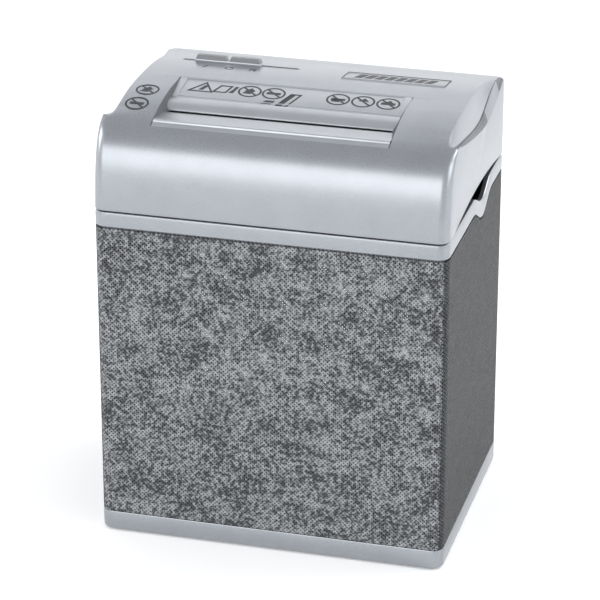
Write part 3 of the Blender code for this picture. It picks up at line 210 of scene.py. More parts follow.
# key, name, darkest and lightest colour, share of the soft patches
MESH_FINISHES = (
    ("mesh_steel", "mesh_front_paint", (0.045, 0.048, 0.052), (0.28, 0.29, 0.3), 0.3),
    # The side panels' copy is darker than the front's: painted shade on the same paint.
    ("side_mesh_shade", "side_mesh_painted_shade", (0.03, 0.031, 0.033), (0.06, 0.062, 0.065), 0.2),
)
PATCH_SCALE, SPECKLE_SCALE, MESH_GRAIN_SCALE = 60.0, 420.0, 2500.0
PATCH_STRETCH, PATCH_TURN = (1.0, 1.0, 1.7), math.radians(38)
SPECKLE_RANGE = (0.42, 0.6)
MESH_ROUGHNESS, MESH_SHEEN, MESH_GRAIN, MESH_GRAIN_DEPTH = (0.46, 0.6), 0.25, 0.15, 0.0001

# The studio, in millimetres for the floor and metres for lights and camera
FLOOR_HALF, FLOOR_FRONT, FLOOR_BACK = 6000.0, -5000.0, 2200.0
BACKDROP_RADIUS, BACKDROP_STEPS, BACKDROP_TOP = 900.0, 8, 4000.0
FLOOR_GLOW = 0.14
FLOOR_COLOUR, FLOOR_DARK, FLOOR_LIGHT = (0.93, 0.93, 0.935), (0.92, 0.92, 0.925), (0.94, 0.94, 0.945)
# Brightness of the room by the sine of the elevation
ROOM = ((0.0, 1.0), (0.25, 0.85), (0.5, 0.78), (0.75, 0.64), (0.95, 0.62))
ROOM_TINT = (0.97, 0.985, 1.0)
ROOM_STRENGTH = 1.2
# name, place, width, height, watts
LIGHTS = (
    ("back_softbox", (1.7, 1.0, 2.0), 1.4, 1.0, 21.0),
    ("front_softbox", (-0.75, -3.0, 1.05), 3.4, 1.2, 30.0),
    ("right_softbox", (2.4, -0.4, 1.3), 1.4, 1.6, 17.0),
    ("left_softbox", (-2.5, -0.4, 1.2), 1.2, 1.4, 22.0),
)
LIGHT_TARGET = (0.0, 0.0, 0.2)
CAMERA_AZIMUTH, CAMERA_ELEVATION = math.radians(15.03), math.radians(23.66)
CAMERA_DISTANCE, CAMERA_LENS, CAMERA_SENSOR = 2.0589, 180.0, 36.0
CAMERA_TARGET = Vector((-0.0023, 0.0, 0.1471))


# ---------------------------------------------------------------- meshes


def finish_mesh(name, verts, faces, material, body):
    """A piece from points in millimetres, riding a body. Edges turned more than SHARP_EDGE stay crisp."""
    mesh = bpy.data.meshes.new(name)
    mesh.from_pydata([tuple(c * MM for c in v) for v in verts], [], faces)
    mesh.validate()
    bm = bmesh.new()
    bm.from_mesh(mesh)
    bmesh.ops.remove_doubles(bm, verts=bm.verts, dist=WELD)
    bmesh.ops.recalc_face_normals(bm, faces=bm.faces)
    bm.to_mesh(mesh)
    bm.free()
    mesh.shade_smooth()
    mesh.set_sharp_from_angle(angle=SHARP_EDGE)
    mesh.materials.append(material)
    obj = bpy.data.objects.new(name, mesh)
    bpy.context.scene.collection.objects.link(obj)
    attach(obj, body)
    return obj


def apply_modifiers(obj):
    """The object's mesh becomes its evaluated mesh."""
    graph = bpy.context.evaluated_depsgraph_get()
    mesh = bpy.data.meshes.new_from_object(obj.evaluated_get(graph))
    obj.modifiers.clear()
    obj.data = mesh
    mesh.shade_smooth()
    mesh.set_sharp_from_angle(angle=SHARP_EDGE)


def thicken(obj, thickness):
    """Wall of a shell, grown inwards."""
    modifier = obj.modifiers.new("wall", "SOLIDIFY")
    modifier.thickness = thickness * MM
    modifier.offset = -1.0
    modifier.use_even_offset = False


def soften(obj, width, segments=2):
    """Small moulded radius on the object's edges."""
    modifier = obj.modifiers.new("radius", "BEVEL")
    modifier.width = width * MM
    modifier.segments = segments
    modifier.limit_method = "ANGLE"
    modifier.angle_limit = BEVEL_EDGE
    modifier.use_clamp_overlap = True


def grid(rows, wrap=False):
    """Quads between rows of equal length. Returns (points, faces)."""
    count = len(rows[0])
    verts = [point for row in rows for point in row]
    faces = []
    for i in range(len(rows) - 1 + wrap):
        for j in range(count - 1):
            a, b = i * count + j, (i + 1) % len(rows) * count + j
            faces.append((a, a + 1, b + 1, b))
    return verts, faces


def prism(outline, x_low, x_high):
    """A (y, z) outline drawn out along X."""
    count = len(outline)
    verts = [(x, y, z) for x in (x_low, x_high) for y, z in outline]
    faces = [tuple(range(count)), tuple(range(2 * count - 1, count - 1, -1))]
    faces += [(i, (i + 1) % count, (i + 1) % count + count, i + count) for i in range(count)]
    return verts, faces


def merge(parts):
    """Several (points, faces) as one."""
    verts, faces = [], []
    for part_verts, part_faces in parts:
        base = len(verts)
        verts += list(part_verts)
        faces += [tuple(i + base for i in face) for face in part_faces]
    return verts, faces


def curve(points, steps):
    """A smooth line through points of (a, b), with `steps` pieces between each pair."""
    padded = [points[0], *points, points[-1]]
    line = []
    for i in range(1, len(padded) - 2):
        for k in range(steps):
            t = k / steps
            line.append(tuple(catmull(*(padded[i + d][c] for d in (-1, 0, 1, 2)), t) for c in (0, 1)))
    line.append(tuple(points[-1]))
    return line


def catmull(a, b, c, d, t):
    """Catmull-Rom spline between b and c."""
    return b + 0.5 * t * (c - a + t * (2 * a - 5 * b + 4 * c - d + t * (3 * (b - c) + d - a)))


def level(points, y):
    """Height at y of a line of (y, z) points."""
    for (y0, z0), (y1, z1) in zip(points, points[1:]):
        if y0 <= y <= y1 and y1 > y0:
            return z0 + (z1 - z0) * (y - y0) / (y1 - y0)
    return points[0][1] if y < points[0][0] else points[-1][1]


def inside_depth(points, steps):
    """A smooth line through points of (y, z) that stays in front of the object's back."""
    return [(min(y, HALF_DEPTH), z) for y, z in curve(points, steps)]


HOOD_LINE = inside_depth(HOOD, HOOD_STEPS)
CREASE_LINE = inside_depth(CREASE, SHOULDER_STEPS)
SIDE_LINE = inside_depth(SIDE_TOP, SHOULDER_STEPS)
CROWN_LINE = [point for point in HOOD_LINE if point[1] > CROWN_FLOOR]


def crown(y):
    return level(CROWN_LINE, y)


def crown_frame(x, y, lift=0.0):
    """Matrix, in millimetres, that lays a flat drawing on the crown at a place."""
    reach = 3.0
    slope = math.atan2(crown(y + reach) - crown(y - reach), 2 * reach)
    return Matrix.Translation((x, y, crown(y) + lift)) @ Matrix.Rotation(slope, 4, "X")


def panel_frame(x, y, lift=0.0):
    """The same for the sloped panel behind the slot."""
    slope = math.atan2(crown(CREASE_Y) - STEP_Z, CREASE_Y - STEP_Y)
    z = STEP_Z + (y - STEP_Y) * math.tan(slope)
    return Matrix.Translation((x, y, z + lift)) @ Matrix.Rotation(slope, 4, "X")


# ---------------------------------------------------------------- materials


def new_material(name, colour, roughness=0.5, metallic=0.0, coat=0.0):
    material = bpy.data.materials.new(name)
    material.use_nodes = True
    shader = material.node_tree.nodes["Principled BSDF"]
    shader.inputs["Base Color"].default_value = (*colour, 1.0)
    shader.inputs["Roughness"].default_value = roughness
    shader.inputs["Metallic"].default_value = metallic
    shader.inputs["Coat Weight"].default_value = coat
    return material, material.node_tree, shader


def noise(tree, scale, detail=4.0, stretch=(1.0, 1.0, 1.0), turn=0.0):
    """Noise in the object's own space, so that it stays with the piece. Scale is features per metre."""
    nodes, links = tree.nodes, tree.links
    place = nodes.new("ShaderNodeTexCoord")
    mapping = nodes.new("ShaderNodeMapping")
    mapping.inputs["Scale"].default_value = stretch
    mapping.inputs["Rotation"].default_value = (0.0, turn, 0.0)
    texture = nodes.new("ShaderNodeTexNoise")
    texture.inputs["Scale"].default_value = scale
    texture.inputs["Detail"].default_value = detail
    links.new(place.outputs["Object"], mapping.inputs["Vector"])
    links.new(mapping.outputs["Vector"], texture.inputs["Vector"])
    return texture.outputs["Fac"]


def ramp(tree, value, low, high, start=NOISE_LOW, end=NOISE_HIGH):
    """Colours from low to high as the value goes from start to end."""
    node = tree.nodes.new("ShaderNodeValToRGB")
    node.color_ramp.elements[0].position = start
    node.color_ramp.elements[1].position = end
    node.color_ramp.elements[0].color = (*low, 1.0)
    node.color_ramp.elements[1].color = (*high, 1.0)
    tree.links.new(value, node.inputs["Fac"])
    return node.outputs["Color"]


def spread(tree, value, low, high):
    """Numbers from low to high over the range of a noise."""
    node = tree.nodes.new("ShaderNodeMapRange")
    node.inputs["From Min"].default_value = NOISE_LOW
    node.inputs["From Max"].default_value = NOISE_HIGH
    node.inputs["To Min"].default_value = low
    node.inputs["To Max"].default_value = high
    tree.links.new(value, node.inputs["Value"])
    return node.outputs["Result"]


def grain(tree, shader, value, strength, distance):
    node = tree.nodes.new("ShaderNodeBump")
    node.inputs["Strength"].default_value = strength
    node.inputs["Distance"].default_value = distance
    tree.links.new(value, node.inputs["Height"])
    tree.links.new(node.outputs["Normal"], shader.inputs["Normal"])


def shade(colour, factor):
    return tuple(min(1.0, c * factor) for c in colour)


def surface(name, colour, roughness, metallic, coat, vary, scale, bump, stretch=(1, 1, 1)):
    """A finish with slight colour drift, an uneven gloss and a fine surface grain."""
    material, tree, shader = new_material(name, colour, roughness, metallic, coat)
    drift = noise(tree, scale / DRIFT_SIZE, 3.0, stretch)
    fine = noise(tree, scale, 5.0, stretch)
    colours = ramp(tree, drift, shade(colour, 1 - vary), shade(colour, 1 + vary))
    tree.links.new(colours, shader.inputs["Base Color"])
    gloss = spread(tree, fine, roughness * (1 - GLOSS_DRIFT), roughness * (1 + GLOSS_DRIFT))
    tree.links.new(gloss, shader.inputs["Roughness"])
    grain(tree, shader, fine, bump, GRAIN_DEPTH)
    return material


def mesh_finish(name, dark, light, patchiness):
    """Dark painted mesh: speckled from strand to strand, with soft slanting patches below."""
    material, tree, shader = new_material(name, dark)
    shader.inputs["Specular IOR Level"].default_value = MESH_SHEEN
    links = tree.links
    patches = noise(tree, PATCH_SCALE, 3.0, PATCH_STRETCH, PATCH_TURN)
    speckle = noise(tree, SPECKLE_SCALE, 2.0)
    both = tree.nodes.new("ShaderNodeMix")
    both.inputs["Factor"].default_value = patchiness
    links.new(speckle, both.inputs["A"])
    links.new(patches, both.inputs["B"])
    colours = ramp(tree, both.outputs["Result"], dark, light, *SPECKLE_RANGE)
    links.new(colours, shader.inputs["Base Color"])
    fine = noise(tree, MESH_GRAIN_SCALE)
    links.new(spread(tree, fine, *MESH_ROUGHNESS), shader.inputs["Roughness"])
    grain(tree, shader, fine, MESH_GRAIN, MESH_GRAIN_DEPTH)
    return material


def make_finishes():
    """One finish for each material slot of the CAD record, and a few for details of the looks."""
    finishes = {name: surface(name, *values) for name, *values in FINISHES}
    for name, *values in STREAKED_FINISHES:
        finishes[name] = surface(name, *values, STEEL_STREAKS)
    for key, name, dark, light, patchiness in MESH_FINISHES:
        finishes[key] = mesh_finish(name, dark, light, patchiness)
    return finishes


def paint_cad_nodes(finishes):
    for part in frame["record"]["subparts"]:
        node = frame["nodes"][part["node"]]
        node.data.materials.clear()
        node.data.materials.append(finishes[part["material_slot"]])
        node.data.shade_smooth()
        node.data.set_sharp_from_angle(angle=SHARP_CAD_EDGE)


# ---------------------------------------------------------------- the cover


def arch(y):
    along = (y - ARCH_Y) / ARCH_HALF
    return COVER_FOOT + ARCH_RISE * (1 - along**2)


def side_drop(y, z, share):
    """How far the shoulder lies below the hood, from its edge (share 0) to the side wall (1)."""
    on_back_wall = z < CROWN_FLOOR and y > 0
    if y < CREASE_START or on_back_wall:
        return 0.0
    to_crease = max(0.0, z - level(CREASE_LINE, y))
    to_side = max(0.0, z - level(SIDE_LINE, y))
    groove = CREASE_GROOVE if share == CREASE_SHARE else 0.0
    if share <= CREASE_SHARE:
        return to_crease * (share / CREASE_SHARE) ** SHOULDER_CURVE + min(groove, to_crease)
    ledge = (share - CREASE_SHARE) / (1 - CREASE_SHARE)
    return to_crease + (to_side - to_crease) * ledge


def cover_columns():
    """(x, share) across the cover. Share is the way round a corner: 0 on the crown, 1 on the side wall."""
    flat = HALF_WIDTH - CORNER
    left = [(-flat - CORNER * share, share) for share in reversed(SHOULDER_SHARES)]
    right = [(flat + CORNER * share, share) for share in SHOULDER_SHARES]
    middle = [(x, 0.0) for x in (ENTRY_LEFT, ENTRY_RIGHT)]
    return left + middle + right


def cover_rows():
    """The hood's line, with points on the entry's two edges."""
    rows = [list(point) for point in HOOD_LINE]
    for edge in (LIP_Y, CREASE_Y):
        on_crown = [row for row in rows if row[1] > CROWN_FLOOR]
        nearest = min(on_crown, key=lambda row: abs(row[0] - edge))
        nearest[:] = [edge, crown(edge)]
    return rows


def cover_surface():
    columns, rows = cover_columns(), cover_rows()
    verts, faces = [], []
    for y, z in rows:
        for x, share in columns:
            inset = CORNER - math.sqrt(CORNER**2 - (CORNER * share) ** 2)
            squeezed = y * (HALF_DEPTH - inset) / HALF_DEPTH
            verts.append((x, squeezed, z - side_drop(squeezed, z, share)))
    count = len(columns)
    for i in range(len(rows) - 1):
        for j in range(count - 1):
            behind_lip = columns[j][0] == ENTRY_LEFT and LIP_Y <= rows[i][0] and rows[i + 1][0] <= CREASE_Y
            if not behind_lip or rows[i][1] < CROWN_FLOOR:
                a, b = i * count + j, (i + 1) * count + j
                faces.append((a, a + 1, b + 1, b))
    add_side_walls(verts, faces, count)
    return verts, faces


def add_side_walls(verts, faces, count):
    """Each side wall fills the cover's outline, down to the arch in its foot."""
    for column in (0, count - 1):
        outline = list(range(column, len(verts) // count * count, count))
        x = verts[column][0]
        for k in range(ARCH_STEPS + 1):
            y = ARCH_Y + ARCH_HALF * (1 - 2 * k / ARCH_STEPS)
            outline.append(len(verts))
            verts.append((x, y, arch(y)))
        faces.append(tuple(outline))


def make_cheeks(finishes):
    """Leaning end walls of the entry, from the crown down past the slot, in dark grey as painted shade."""
    inside = [(y, z) for y, z in cover_rows() if LIP_Y <= y <= CREASE_Y and z > CROWN_FLOOR]
    ends = (("cheek_left", ENTRY_LEFT, CHEEK_LEAN), ("cheek_right", ENTRY_RIGHT, -CHEEK_LEAN))
    for name, x, lean in ends:
        edge = [(x, y, z - CHEEK_TUCK) for y, z in inside]
        foot = [(x + lean, y, z - CHEEK_DROP) for y, z in inside]
        cheek = finish_mesh(name, *grid([edge, foot]), finishes["cheek_grey"], "head")
        thicken(cheek, CHEEK_WALL)
        apply_modifiers(cheek)


def cut(obj, cutter_verts, cutter_faces, matrix):
    """Takes a shape out of an object."""
    mesh = bpy.data.meshes.new("cutter")
    mesh.from_pydata([tuple(c * MM for c in matrix @ Vector(v)) for v in cutter_verts], [], cutter_faces)
    cutter = bpy.data.objects.new("cutter", mesh)
    bpy.context.scene.collection.objects.link(cutter)
    modifier = obj.modifiers.new("cut", "BOOLEAN")
    modifier.object = cutter
    modifier.solver = "EXACT"
    apply_modifiers(obj)
    bpy.data.objects.remove(cutter)


def stadium(left, right, half, steps=8):
    """Outline of a slot with round ends: (x, y)."""
    points = []
    for centre, start in ((right - half, -90), (left + half, 90)):
        for k in range(steps + 1):
            angle = math.radians(start + 180 * k / steps)
            points.append((centre + half * math.cos(angle), half * math.sin(angle)))
    return points


def slab(outline, low, high):
    """An (x, y) outline drawn out along Z."""
    count = len(outline)
    verts = [(x, y, z) for z in (low, high) for x, y in outline]
    faces = [tuple(range(count - 1, -1, -1)), tuple(range(count, 2 * count))]
    faces += [(i, (i + 1) % count, (i + 1) % count + count, i + count) for i in range(count)]
    return verts, faces


def box_outline(half_w, half_d):
    return [(-half_w, -half_d), (half_w, -half_d), (half_w, half_d), (-half_w, half_d)]


def paint_ledge_shade(cover, finish):
    """The narrow ledges below the creases get a darker finish: painted shade on the same silver as the cover.
    """
    cover.data.materials.append(finish)
    crease_x = HALF_WIDTH - CORNER * (1 - CREASE_SHARE)
    for face in cover.data.polygons:
        x, y, z = face.center / MM
        below_crease = crease_x < abs(x) < HALF_WIDTH - EDGE_GAP and y > CREASE_START
        if below_crease and z > LEDGE_FLOOR and face.normal.z > LEDGE_TILT:
            face.material_index = 1


def make_cover(finishes):
    verts, faces = cover_surface()
    cover = finish_mesh("cover_shell", verts, faces, finishes["silver_plastic"], "head")
    thicken(cover, COVER_WALL)
    soften(cover, COVER_RADIUS)
    apply_modifiers(cover)
    slit = slab(stadium(SLIT_LEFT, SLIT_RIGHT, SLIT_HALF), *SLIT_CUT)
    cut(cover, *slit, crown_frame(SWITCH_X, SWITCH_Y))
    badge = slab(box_outline(BADGE_HALF_W, BADGE_HALF_D), *BADGE_CUT)
    cut(cover, *badge, crown_frame(BADGE_X, BADGE_Y))
    # Painted shade: the ledges get the darker copy of the silver.
    paint_ledge_shade(cover, finishes["shoulder_grey"])
    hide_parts("top_cover")


# ---------------------------------------------------------------- paper entry


def make_entry_panel(finishes):
    """Slope behind the slot, a fine groove at its step, and a rounded bar down to the slot."""
    groove_z = STEP_Z - STEP_DEPTH
    outline = [(CREASE_Y - EDGE_GAP, crown(CREASE_Y)), (STEP_Y, STEP_Z)]
    outline += [(STEP_Y - EDGE_GAP, groove_z), (STEP_Y - EDGE_GAP - STEP_GROOVE, groove_z)]
    outline += curve(PANEL_BAR, BAR_STEPS)
    outline += [(SLOT_BACK, THROAT_TOP), (SLOT_BACK + THROAT_WALL, THROAT_TOP), *PANEL_FOOT]
    make_guide("entry_slope", outline, "entry_panel", finishes)


def make_front_guide(finishes):
    """Guide in front of the slot, with a fine raised lip near its front."""
    front, step = LIP_Y + EDGE_GAP, crown(LIP_STEP_Y)
    outline = [(front, crown(LIP_Y)), (LIP_STEP_Y - EDGE_GAP, step - LIP_SINK), (LIP_STEP_Y, step + LIP_RISE)]
    top = (
        (LIP_STEP_Y + LIP_WIDTH, step + LIP_CREST), (GUIDE_MIDDLE_Y, SLOT_Z),
        (SLOT_FRONT - SLOT_EDGE, SLOT_Z), (SLOT_FRONT, SLOT_Z - SLOT_EDGE),
    )
    outline += curve(top, GUIDE_STEPS)
    outline += [(SLOT_FRONT, THROAT_TOP), (SLOT_FRONT - THROAT_WALL, THROAT_TOP), (front, GUIDE_FOOT_Z)]
    make_guide("entry_guide", outline, "front_guide", finishes)


def make_guide(name, outline, node, finishes):
    """One moulding of the paper entry, drawn out between the leaning cheeks."""
    verts, faces = prism(outline, ENTRY_LEFT + ENTRY_GAP, ENTRY_RIGHT - ENTRY_GAP)
    guide = finish_mesh(name, verts, faces, finishes["guide_plastic"], "head")
    soften(guide, SMALL_RADIUS)
    apply_modifiers(guide)
    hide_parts(node)


def wall_section(inner, outer, low, high):
    return [(inner, low), (inner, high), (outer, high), (outer, low)]


def make_throat(finishes):
    """Dark walls of the throat below the slot, with the sensor's window in the rear one."""
    section = wall_section(SLOT_FRONT, SLOT_FRONT - THROAT_WALL, GUIDE_LOW.z, THROAT_TOP)
    front = prism(section, GUIDE_LOW.x, GUIDE_HIGH.x)
    wall = finish_mesh("throat_front", *front, finishes["black_plastic"], "head")
    soften(wall, SMALL_RADIUS)
    apply_modifiers(wall)
    left, right = SENSOR_LOW.x - SENSOR_ROOM, SENSOR_HIGH.x + SENSOR_ROOM
    low, high = PANEL_LOW.z, THROAT_TOP
    window_low, window_high = SENSOR_WINDOW_Z
    pieces = (
        (PANEL_LOW.x, left, low, high), (right, PANEL_HIGH.x, low, high),
        (left, right, low, window_low), (left, right, window_high, high),
    )
    rear = merge([
        prism(wall_section(SLOT_BACK, SLOT_BACK + THROAT_WALL, foot, top), x_low, x_high)
        for x_low, x_high, foot, top in pieces
    ])
    finish_mesh("throat_rear", *rear, finishes["black_plastic"], "head")


# ---------------------------------------------------------------- printed marks


def ribbon(points, width, closed=True):
    """A line of even width along (x, y) points, as left and right edges."""
    count = len(points)
    sides = []
    for i, point in enumerate(points):
        before = points[i - 1] if closed or i else point
        after = points[(i + 1) % count] if closed or i < count - 1 else point
        a = (Vector(point) - Vector(before)).normalized()
        b = (Vector(after) - Vector(point)).normalized()
        tangent = (a + b).normalized()
        normal = Vector((-tangent.y, tangent.x))
        reach = width / 2
        if a.length and b.length:
            reach /= max(MITRE_LIMIT, math.sqrt(max(0.0, (1 + a.dot(b)) / 2)))
        sides.append((Vector(point) + normal * reach, Vector(point) - normal * reach))
    return sides


def stroke(points, width, height, closed=True):
    """A raised line: a strip with a top, two sides and a foot."""
    rows = []
    for left, right in ribbon(points, width, closed):
        rows.append([(*left, 0.0), (*left, height), (*right, height), (*right, 0.0), (*left, 0.0)])
    verts, faces = grid(rows, wrap=closed)
    if not closed:
        last = len(verts) - 5
        faces += [(3, 2, 1, 0), (last, last + 1, last + 2, last + 3)]
    return verts, faces


def ring_points(radius_x, radius_y, centre=(0.0, 0.0), steps=28):
    angles = [2 * math.pi * k / steps for k in range(steps)]
    return [(centre[0] + radius_x * math.cos(a), centre[1] + radius_y * math.sin(a)) for a in angles]


def laid(part, matrix):
    verts, faces = part
    return [tuple(matrix @ Vector(v)) for v in verts], faces


def filled(*corners):
    return slab(corners, 0.0, PRINT_RISE)


def line(*points):
    return stroke(points, MARK_LINE, 1.2 * PRINT_RISE, closed=False)


def letter_line(*points):
    return stroke(points, LETTER_LINE, PRINT_RISE, closed=False)


def glyph_triangle():
    """Plain triangle around a slanted bar."""
    return [
        stroke([(-8.0, -5.5), (8.0, -5.5), (1.5, 6.5)], MARK_LINE, PRINT_RISE),
        filled((-1.8, -3.4), (1.2, -3.4), (4.0, 2.6), (1.6, 3.2)),
    ]


def glyph_folder():
    """Leaning frame beside a filled block."""
    return [
        stroke([(-8.2, -4.4), (-4.6, 4.4), (2.8, 4.4), (0.2, -4.4)], MARK_LINE, PRINT_RISE),
        filled((2.2, -4.4), (5.4, -4.4), (6.6, 1.0), (7.6, 4.4), (5.0, 4.4), (4.4, 0.6)),
    ]


def glyph_ring(*inside):
    """Ring with a slanted bar over a small shape."""
    return [stroke(ring_points(7.4, 7.0), MARK_LINE, PRINT_RISE), line((-5.0, 4.8), (5.2, -4.6)), *inside]


def glyph_sheet():
    """Leaning sheet with a filled edge, and a pill before it."""
    return [
        stroke([(-4.0, -8.5), (2.5, 8.5), (9.0, 8.5), (3.0, -8.5)], MARK_LINE, PRINT_RISE),
        filled((-4.4, -8.5), (-0.6, -8.5), (5.8, 8.5), (2.0, 8.5)),
        stroke([(-13.0, -6.0), (-8.5, -6.0), (-7.5, -3.4), (-11.6, -3.4)], 2.2, PRINT_RISE),
    ]


BLOCK = filled((-4.6, -3.0), (1.0, -3.4), (3.0, 0.6), (-2.0, 1.0))
WEDGE = filled((-3.6, 0.2), (3.8, 0.6), (0.6, 4.6))
BAR = filled((-4.8, -1.4), (4.8, -1.4), (4.8, 1.4), (-4.8, 1.4))


def make_entry_marks(finishes):
    """Generic pictograms along the sloped panel and on the cheek beside it."""
    row = (
        (-66.0, glyph_triangle()), (-49.0, glyph_folder()), (-33.0, glyph_ring(BLOCK, WEDGE)),
        (-16.5, glyph_ring(BAR)), (27.5, glyph_ring(BLOCK, BAR)), (44.5, glyph_ring(WEDGE)),
        (61.5, glyph_ring(BAR, WEDGE)),
    )
    parts = [laid(part, panel_frame(x, MARK_ROW_Y)) for x, glyph in row for part in glyph]
    parts += [laid(part, panel_frame(*SHEET_MARK_PLACE)) for part in glyph_sheet()]
    for place, glyph in zip(RING_MARK_PLACES, (glyph_ring(BLOCK, WEDGE), glyph_ring(BAR))):
        parts += [laid(part, crown_frame(*place, RING_MARK_SINK)) for part in glyph]
    verts, faces = merge(parts)
    finish_mesh("entry_marks", verts, faces, finishes["dark_print"], "head")
    border_half_w = (ENTRY_RIGHT - ENTRY_LEFT) / 2 - CHEEK_LEAN
    border = box_outline(border_half_w, (CREASE_Y - STEP_Y) / 2 - BORDER_INSET)
    middle = panel_frame((ENTRY_LEFT + ENTRY_RIGHT) / 2, (CREASE_Y + STEP_Y) / 2)
    verts, faces = laid(stroke(border, BORDER_LINE, BORDER_RISE), middle)
    finish_mesh("entry_border", verts, faces, finishes["guide_plastic"], "head")


def make_switch_marks(finishes):
    """I, O and R in front of the switch."""
    letter_i = [letter_line((-0.9, -2.6), (0.9, 2.6))]
    letter_o = [stroke(ring_points(2.6, 2.7, steps=20), 1.0, PRINT_RISE)]
    bowl = letter_line((-1.8, -2.7), (-1.8, 2.7), (1.0, 2.7), (1.9, 1.5), (1.0, 0.2), (-1.6, 0.2))
    letter_r = [bowl, letter_line((0.2, 0.2), (2.1, -2.7))]
    parts = []
    for shift, letter in ((-LETTER_PITCH, letter_i), (0.0, letter_o), (LETTER_PITCH, letter_r)):
        place = crown_frame(SWITCH_X + LETTER_SHIFT + shift, SWITCH_Y - LETTER_DROP, LETTER_SINK)
        parts += [laid(part, place) for part in letter]
    verts, faces = merge(parts)
    finish_mesh("switch_marks", verts, faces, finishes["dark_print"], "head")


def make_badge(finishes):
    """Blank plate with a thin dark outline and a plain row of bars."""
    half_w, half_d = BADGE_HALF_W - BADGE_FIT, BADGE_HALF_D - BADGE_FIT
    shape = laid(slab(box_outline(half_w, half_d), *BADGE_PLATE), crown_frame(BADGE_X, BADGE_Y))
    plate = finish_mesh("badge_blank", *shape, finishes["silver_plastic"], "head")
    soften(plate, BADGE_RADIUS)
    apply_modifiers(plate)
    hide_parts("badge_plate")
    outline = box_outline(half_w - BADGE_LINE_INSET, half_d - BADGE_LINE_INSET)
    parts = [stroke(outline, BADGE_LINE, PRINT_RISE)]
    for k in range(BAR_COUNT):
        x = (k - (BAR_COUNT - 1) / 2) * BAR_PITCH - BAR_LEAN / 2
        far = x + BAR_LEAN
        parts.append(filled(
            (x - BAR_WIDE, -BAR_REACH), (x + BAR_NARROW, -BAR_REACH),
            (far + BAR_WIDE, BAR_REACH), (far - BAR_NARROW, BAR_REACH),
        ))
    face = crown_frame(BADGE_X, BADGE_Y, BADGE_PLATE[1])
    verts, faces = merge([laid(part, face) for part in parts])
    finish_mesh("badge_outline", verts, faces, finishes["dark_print"], "head")


# ---------------------------------------------------------------- slide switch


def make_switch_well(finishes):
    """Dark bed under the slit, and a fine raised lip round it in the lighter guide finish, as a painted
    highlight round the slit.
    """
    matrix = crown_frame(SWITCH_X, SWITCH_Y)
    margin, offset = WELL_MARGIN, SLIT_RIM_OFFSET
    floor = stadium(SLIT_LEFT - margin, SLIT_RIGHT + margin, SLIT_HALF + margin)
    bed = slab(floor, WELL_FOOT, -COVER_WALL - WELL_GAP)
    finish_mesh("switch_bed", *laid(bed, matrix), finishes["black_plastic"], "head")
    # The lip's lighter finish is a painted highlight round the slit.
    edge = stadium(SLIT_LEFT - offset, SLIT_RIGHT + offset, SLIT_HALF + offset)
    lip = stroke(edge, SLIT_RIM_LINE, SLIT_RIM_RISE)
    finish_mesh("switch_lip_highlight", *laid(lip, matrix), finishes["guide_plastic"], "head")


def ribbed_pad(half):
    """Front view of a grip pad: sloped ends and a row of fine ribs."""
    crest = half - PAD_SLOPE
    groove_start, floor_start, floor_end = RIB_SHAPE
    outline = [(half, PAD_FOOT), (crest, KNOB_TOP)]
    for k in range(int(2 * crest / RIB_PITCH)):
        x, floor = crest - k * RIB_PITCH, KNOB_TOP - RIB_DEPTH
        outline += [(x - groove_start * RIB_PITCH, KNOB_TOP), (x - floor_start * RIB_PITCH, floor)]
        outline += [(x - floor_end * RIB_PITCH, floor), (x - RIB_PITCH, KNOB_TOP)]
    outline += [(-crest, KNOB_TOP), (-half, PAD_FOOT)]
    return outline


def drawn_back(outline, half_depth):
    """An (x, z) outline drawn out along Y."""
    verts, faces = prism(outline, -half_depth, half_depth)
    return [(y, -x, z) for x, y, z in verts], faces


def knob_piece(name, shape, finish, radius, segments=2):
    piece = finish_mesh(name, *shape, finish, "knob")
    soften(piece, radius, segments)
    apply_modifiers(piece)
    return piece


def make_switch_knob(finishes):
    """Silver slider with two grey ribbed pads and a notch between them."""
    matrix = crown_frame(SWITCH_X, SWITCH_Y)
    half, top_half = KNOB_HALF, KNOB_HALF - KNOB_DRAFT
    body = [(-half, KNOB_FLOOR), (half, KNOB_FLOOR), (top_half, PAD_FOOT), (-top_half, PAD_FOOT)]
    shape = laid(drawn_back(body, KNOB_HALF_DEPTH), matrix)
    slider = knob_piece("switch_slider", shape, finishes["guide_plastic"], SLIDER_RADIUS)
    for side, name in ((-1, "switch_pad_left"), (1, "switch_pad_right")):
        place = matrix @ Matrix.Translation((side * (top_half - PAD_HALF), 0.0, 0.0))
        shape = laid(drawn_back(ribbed_pad(PAD_HALF), KNOB_HALF_DEPTH - PAD_INSET), place)
        knob_piece(name, shape, finishes["switch_plastic"], PAD_RADIUS, segments=1)
    stem = slab(box_outline(STEM_HALF_W, STEM_HALF_D), *STEM_SPAN)
    knob_piece("switch_stem", laid(stem, matrix), finishes["black_plastic"], STEM_RADIUS)
    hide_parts("switch_knob")


# ---------------------------------------------------------------- the bin


def perimeter(inset, corner_steps=8, side_step=3.0):
    """Rounded rectangle around the bin, anticlockwise from above: (x, y)."""
    half_w, half_d, radius = HALF_WIDTH - inset, HALF_DEPTH - inset, max(LEAST_RADIUS, BIN_CORNER - inset)
    corners = ((1, -1, -90), (1, 1, 0), (-1, 1, 90), (-1, -1, 180))
    points = []
    for sx, sy, start in corners:
        centre = (sx * (half_w - radius), sy * (half_d - radius))
        for k in range(corner_steps + 1):
            angle = math.radians(start + 90 * k / corner_steps)
            points.append((centre[0] + radius * math.cos(angle), centre[1] + radius * math.sin(angle)))
    straight = HALF_DEPTH - BIN_CORNER
    count = round(2 * straight / side_step)
    sides = [-straight + 2 * straight * k / count for k in range(1, count)]
    split = corner_steps + 1
    right = [(half_w, y) for y in sides]
    left = [(-half_w, -y) for y in sides]
    return points[:split] + right + points[split:3 * split] + left + points[3 * split:]


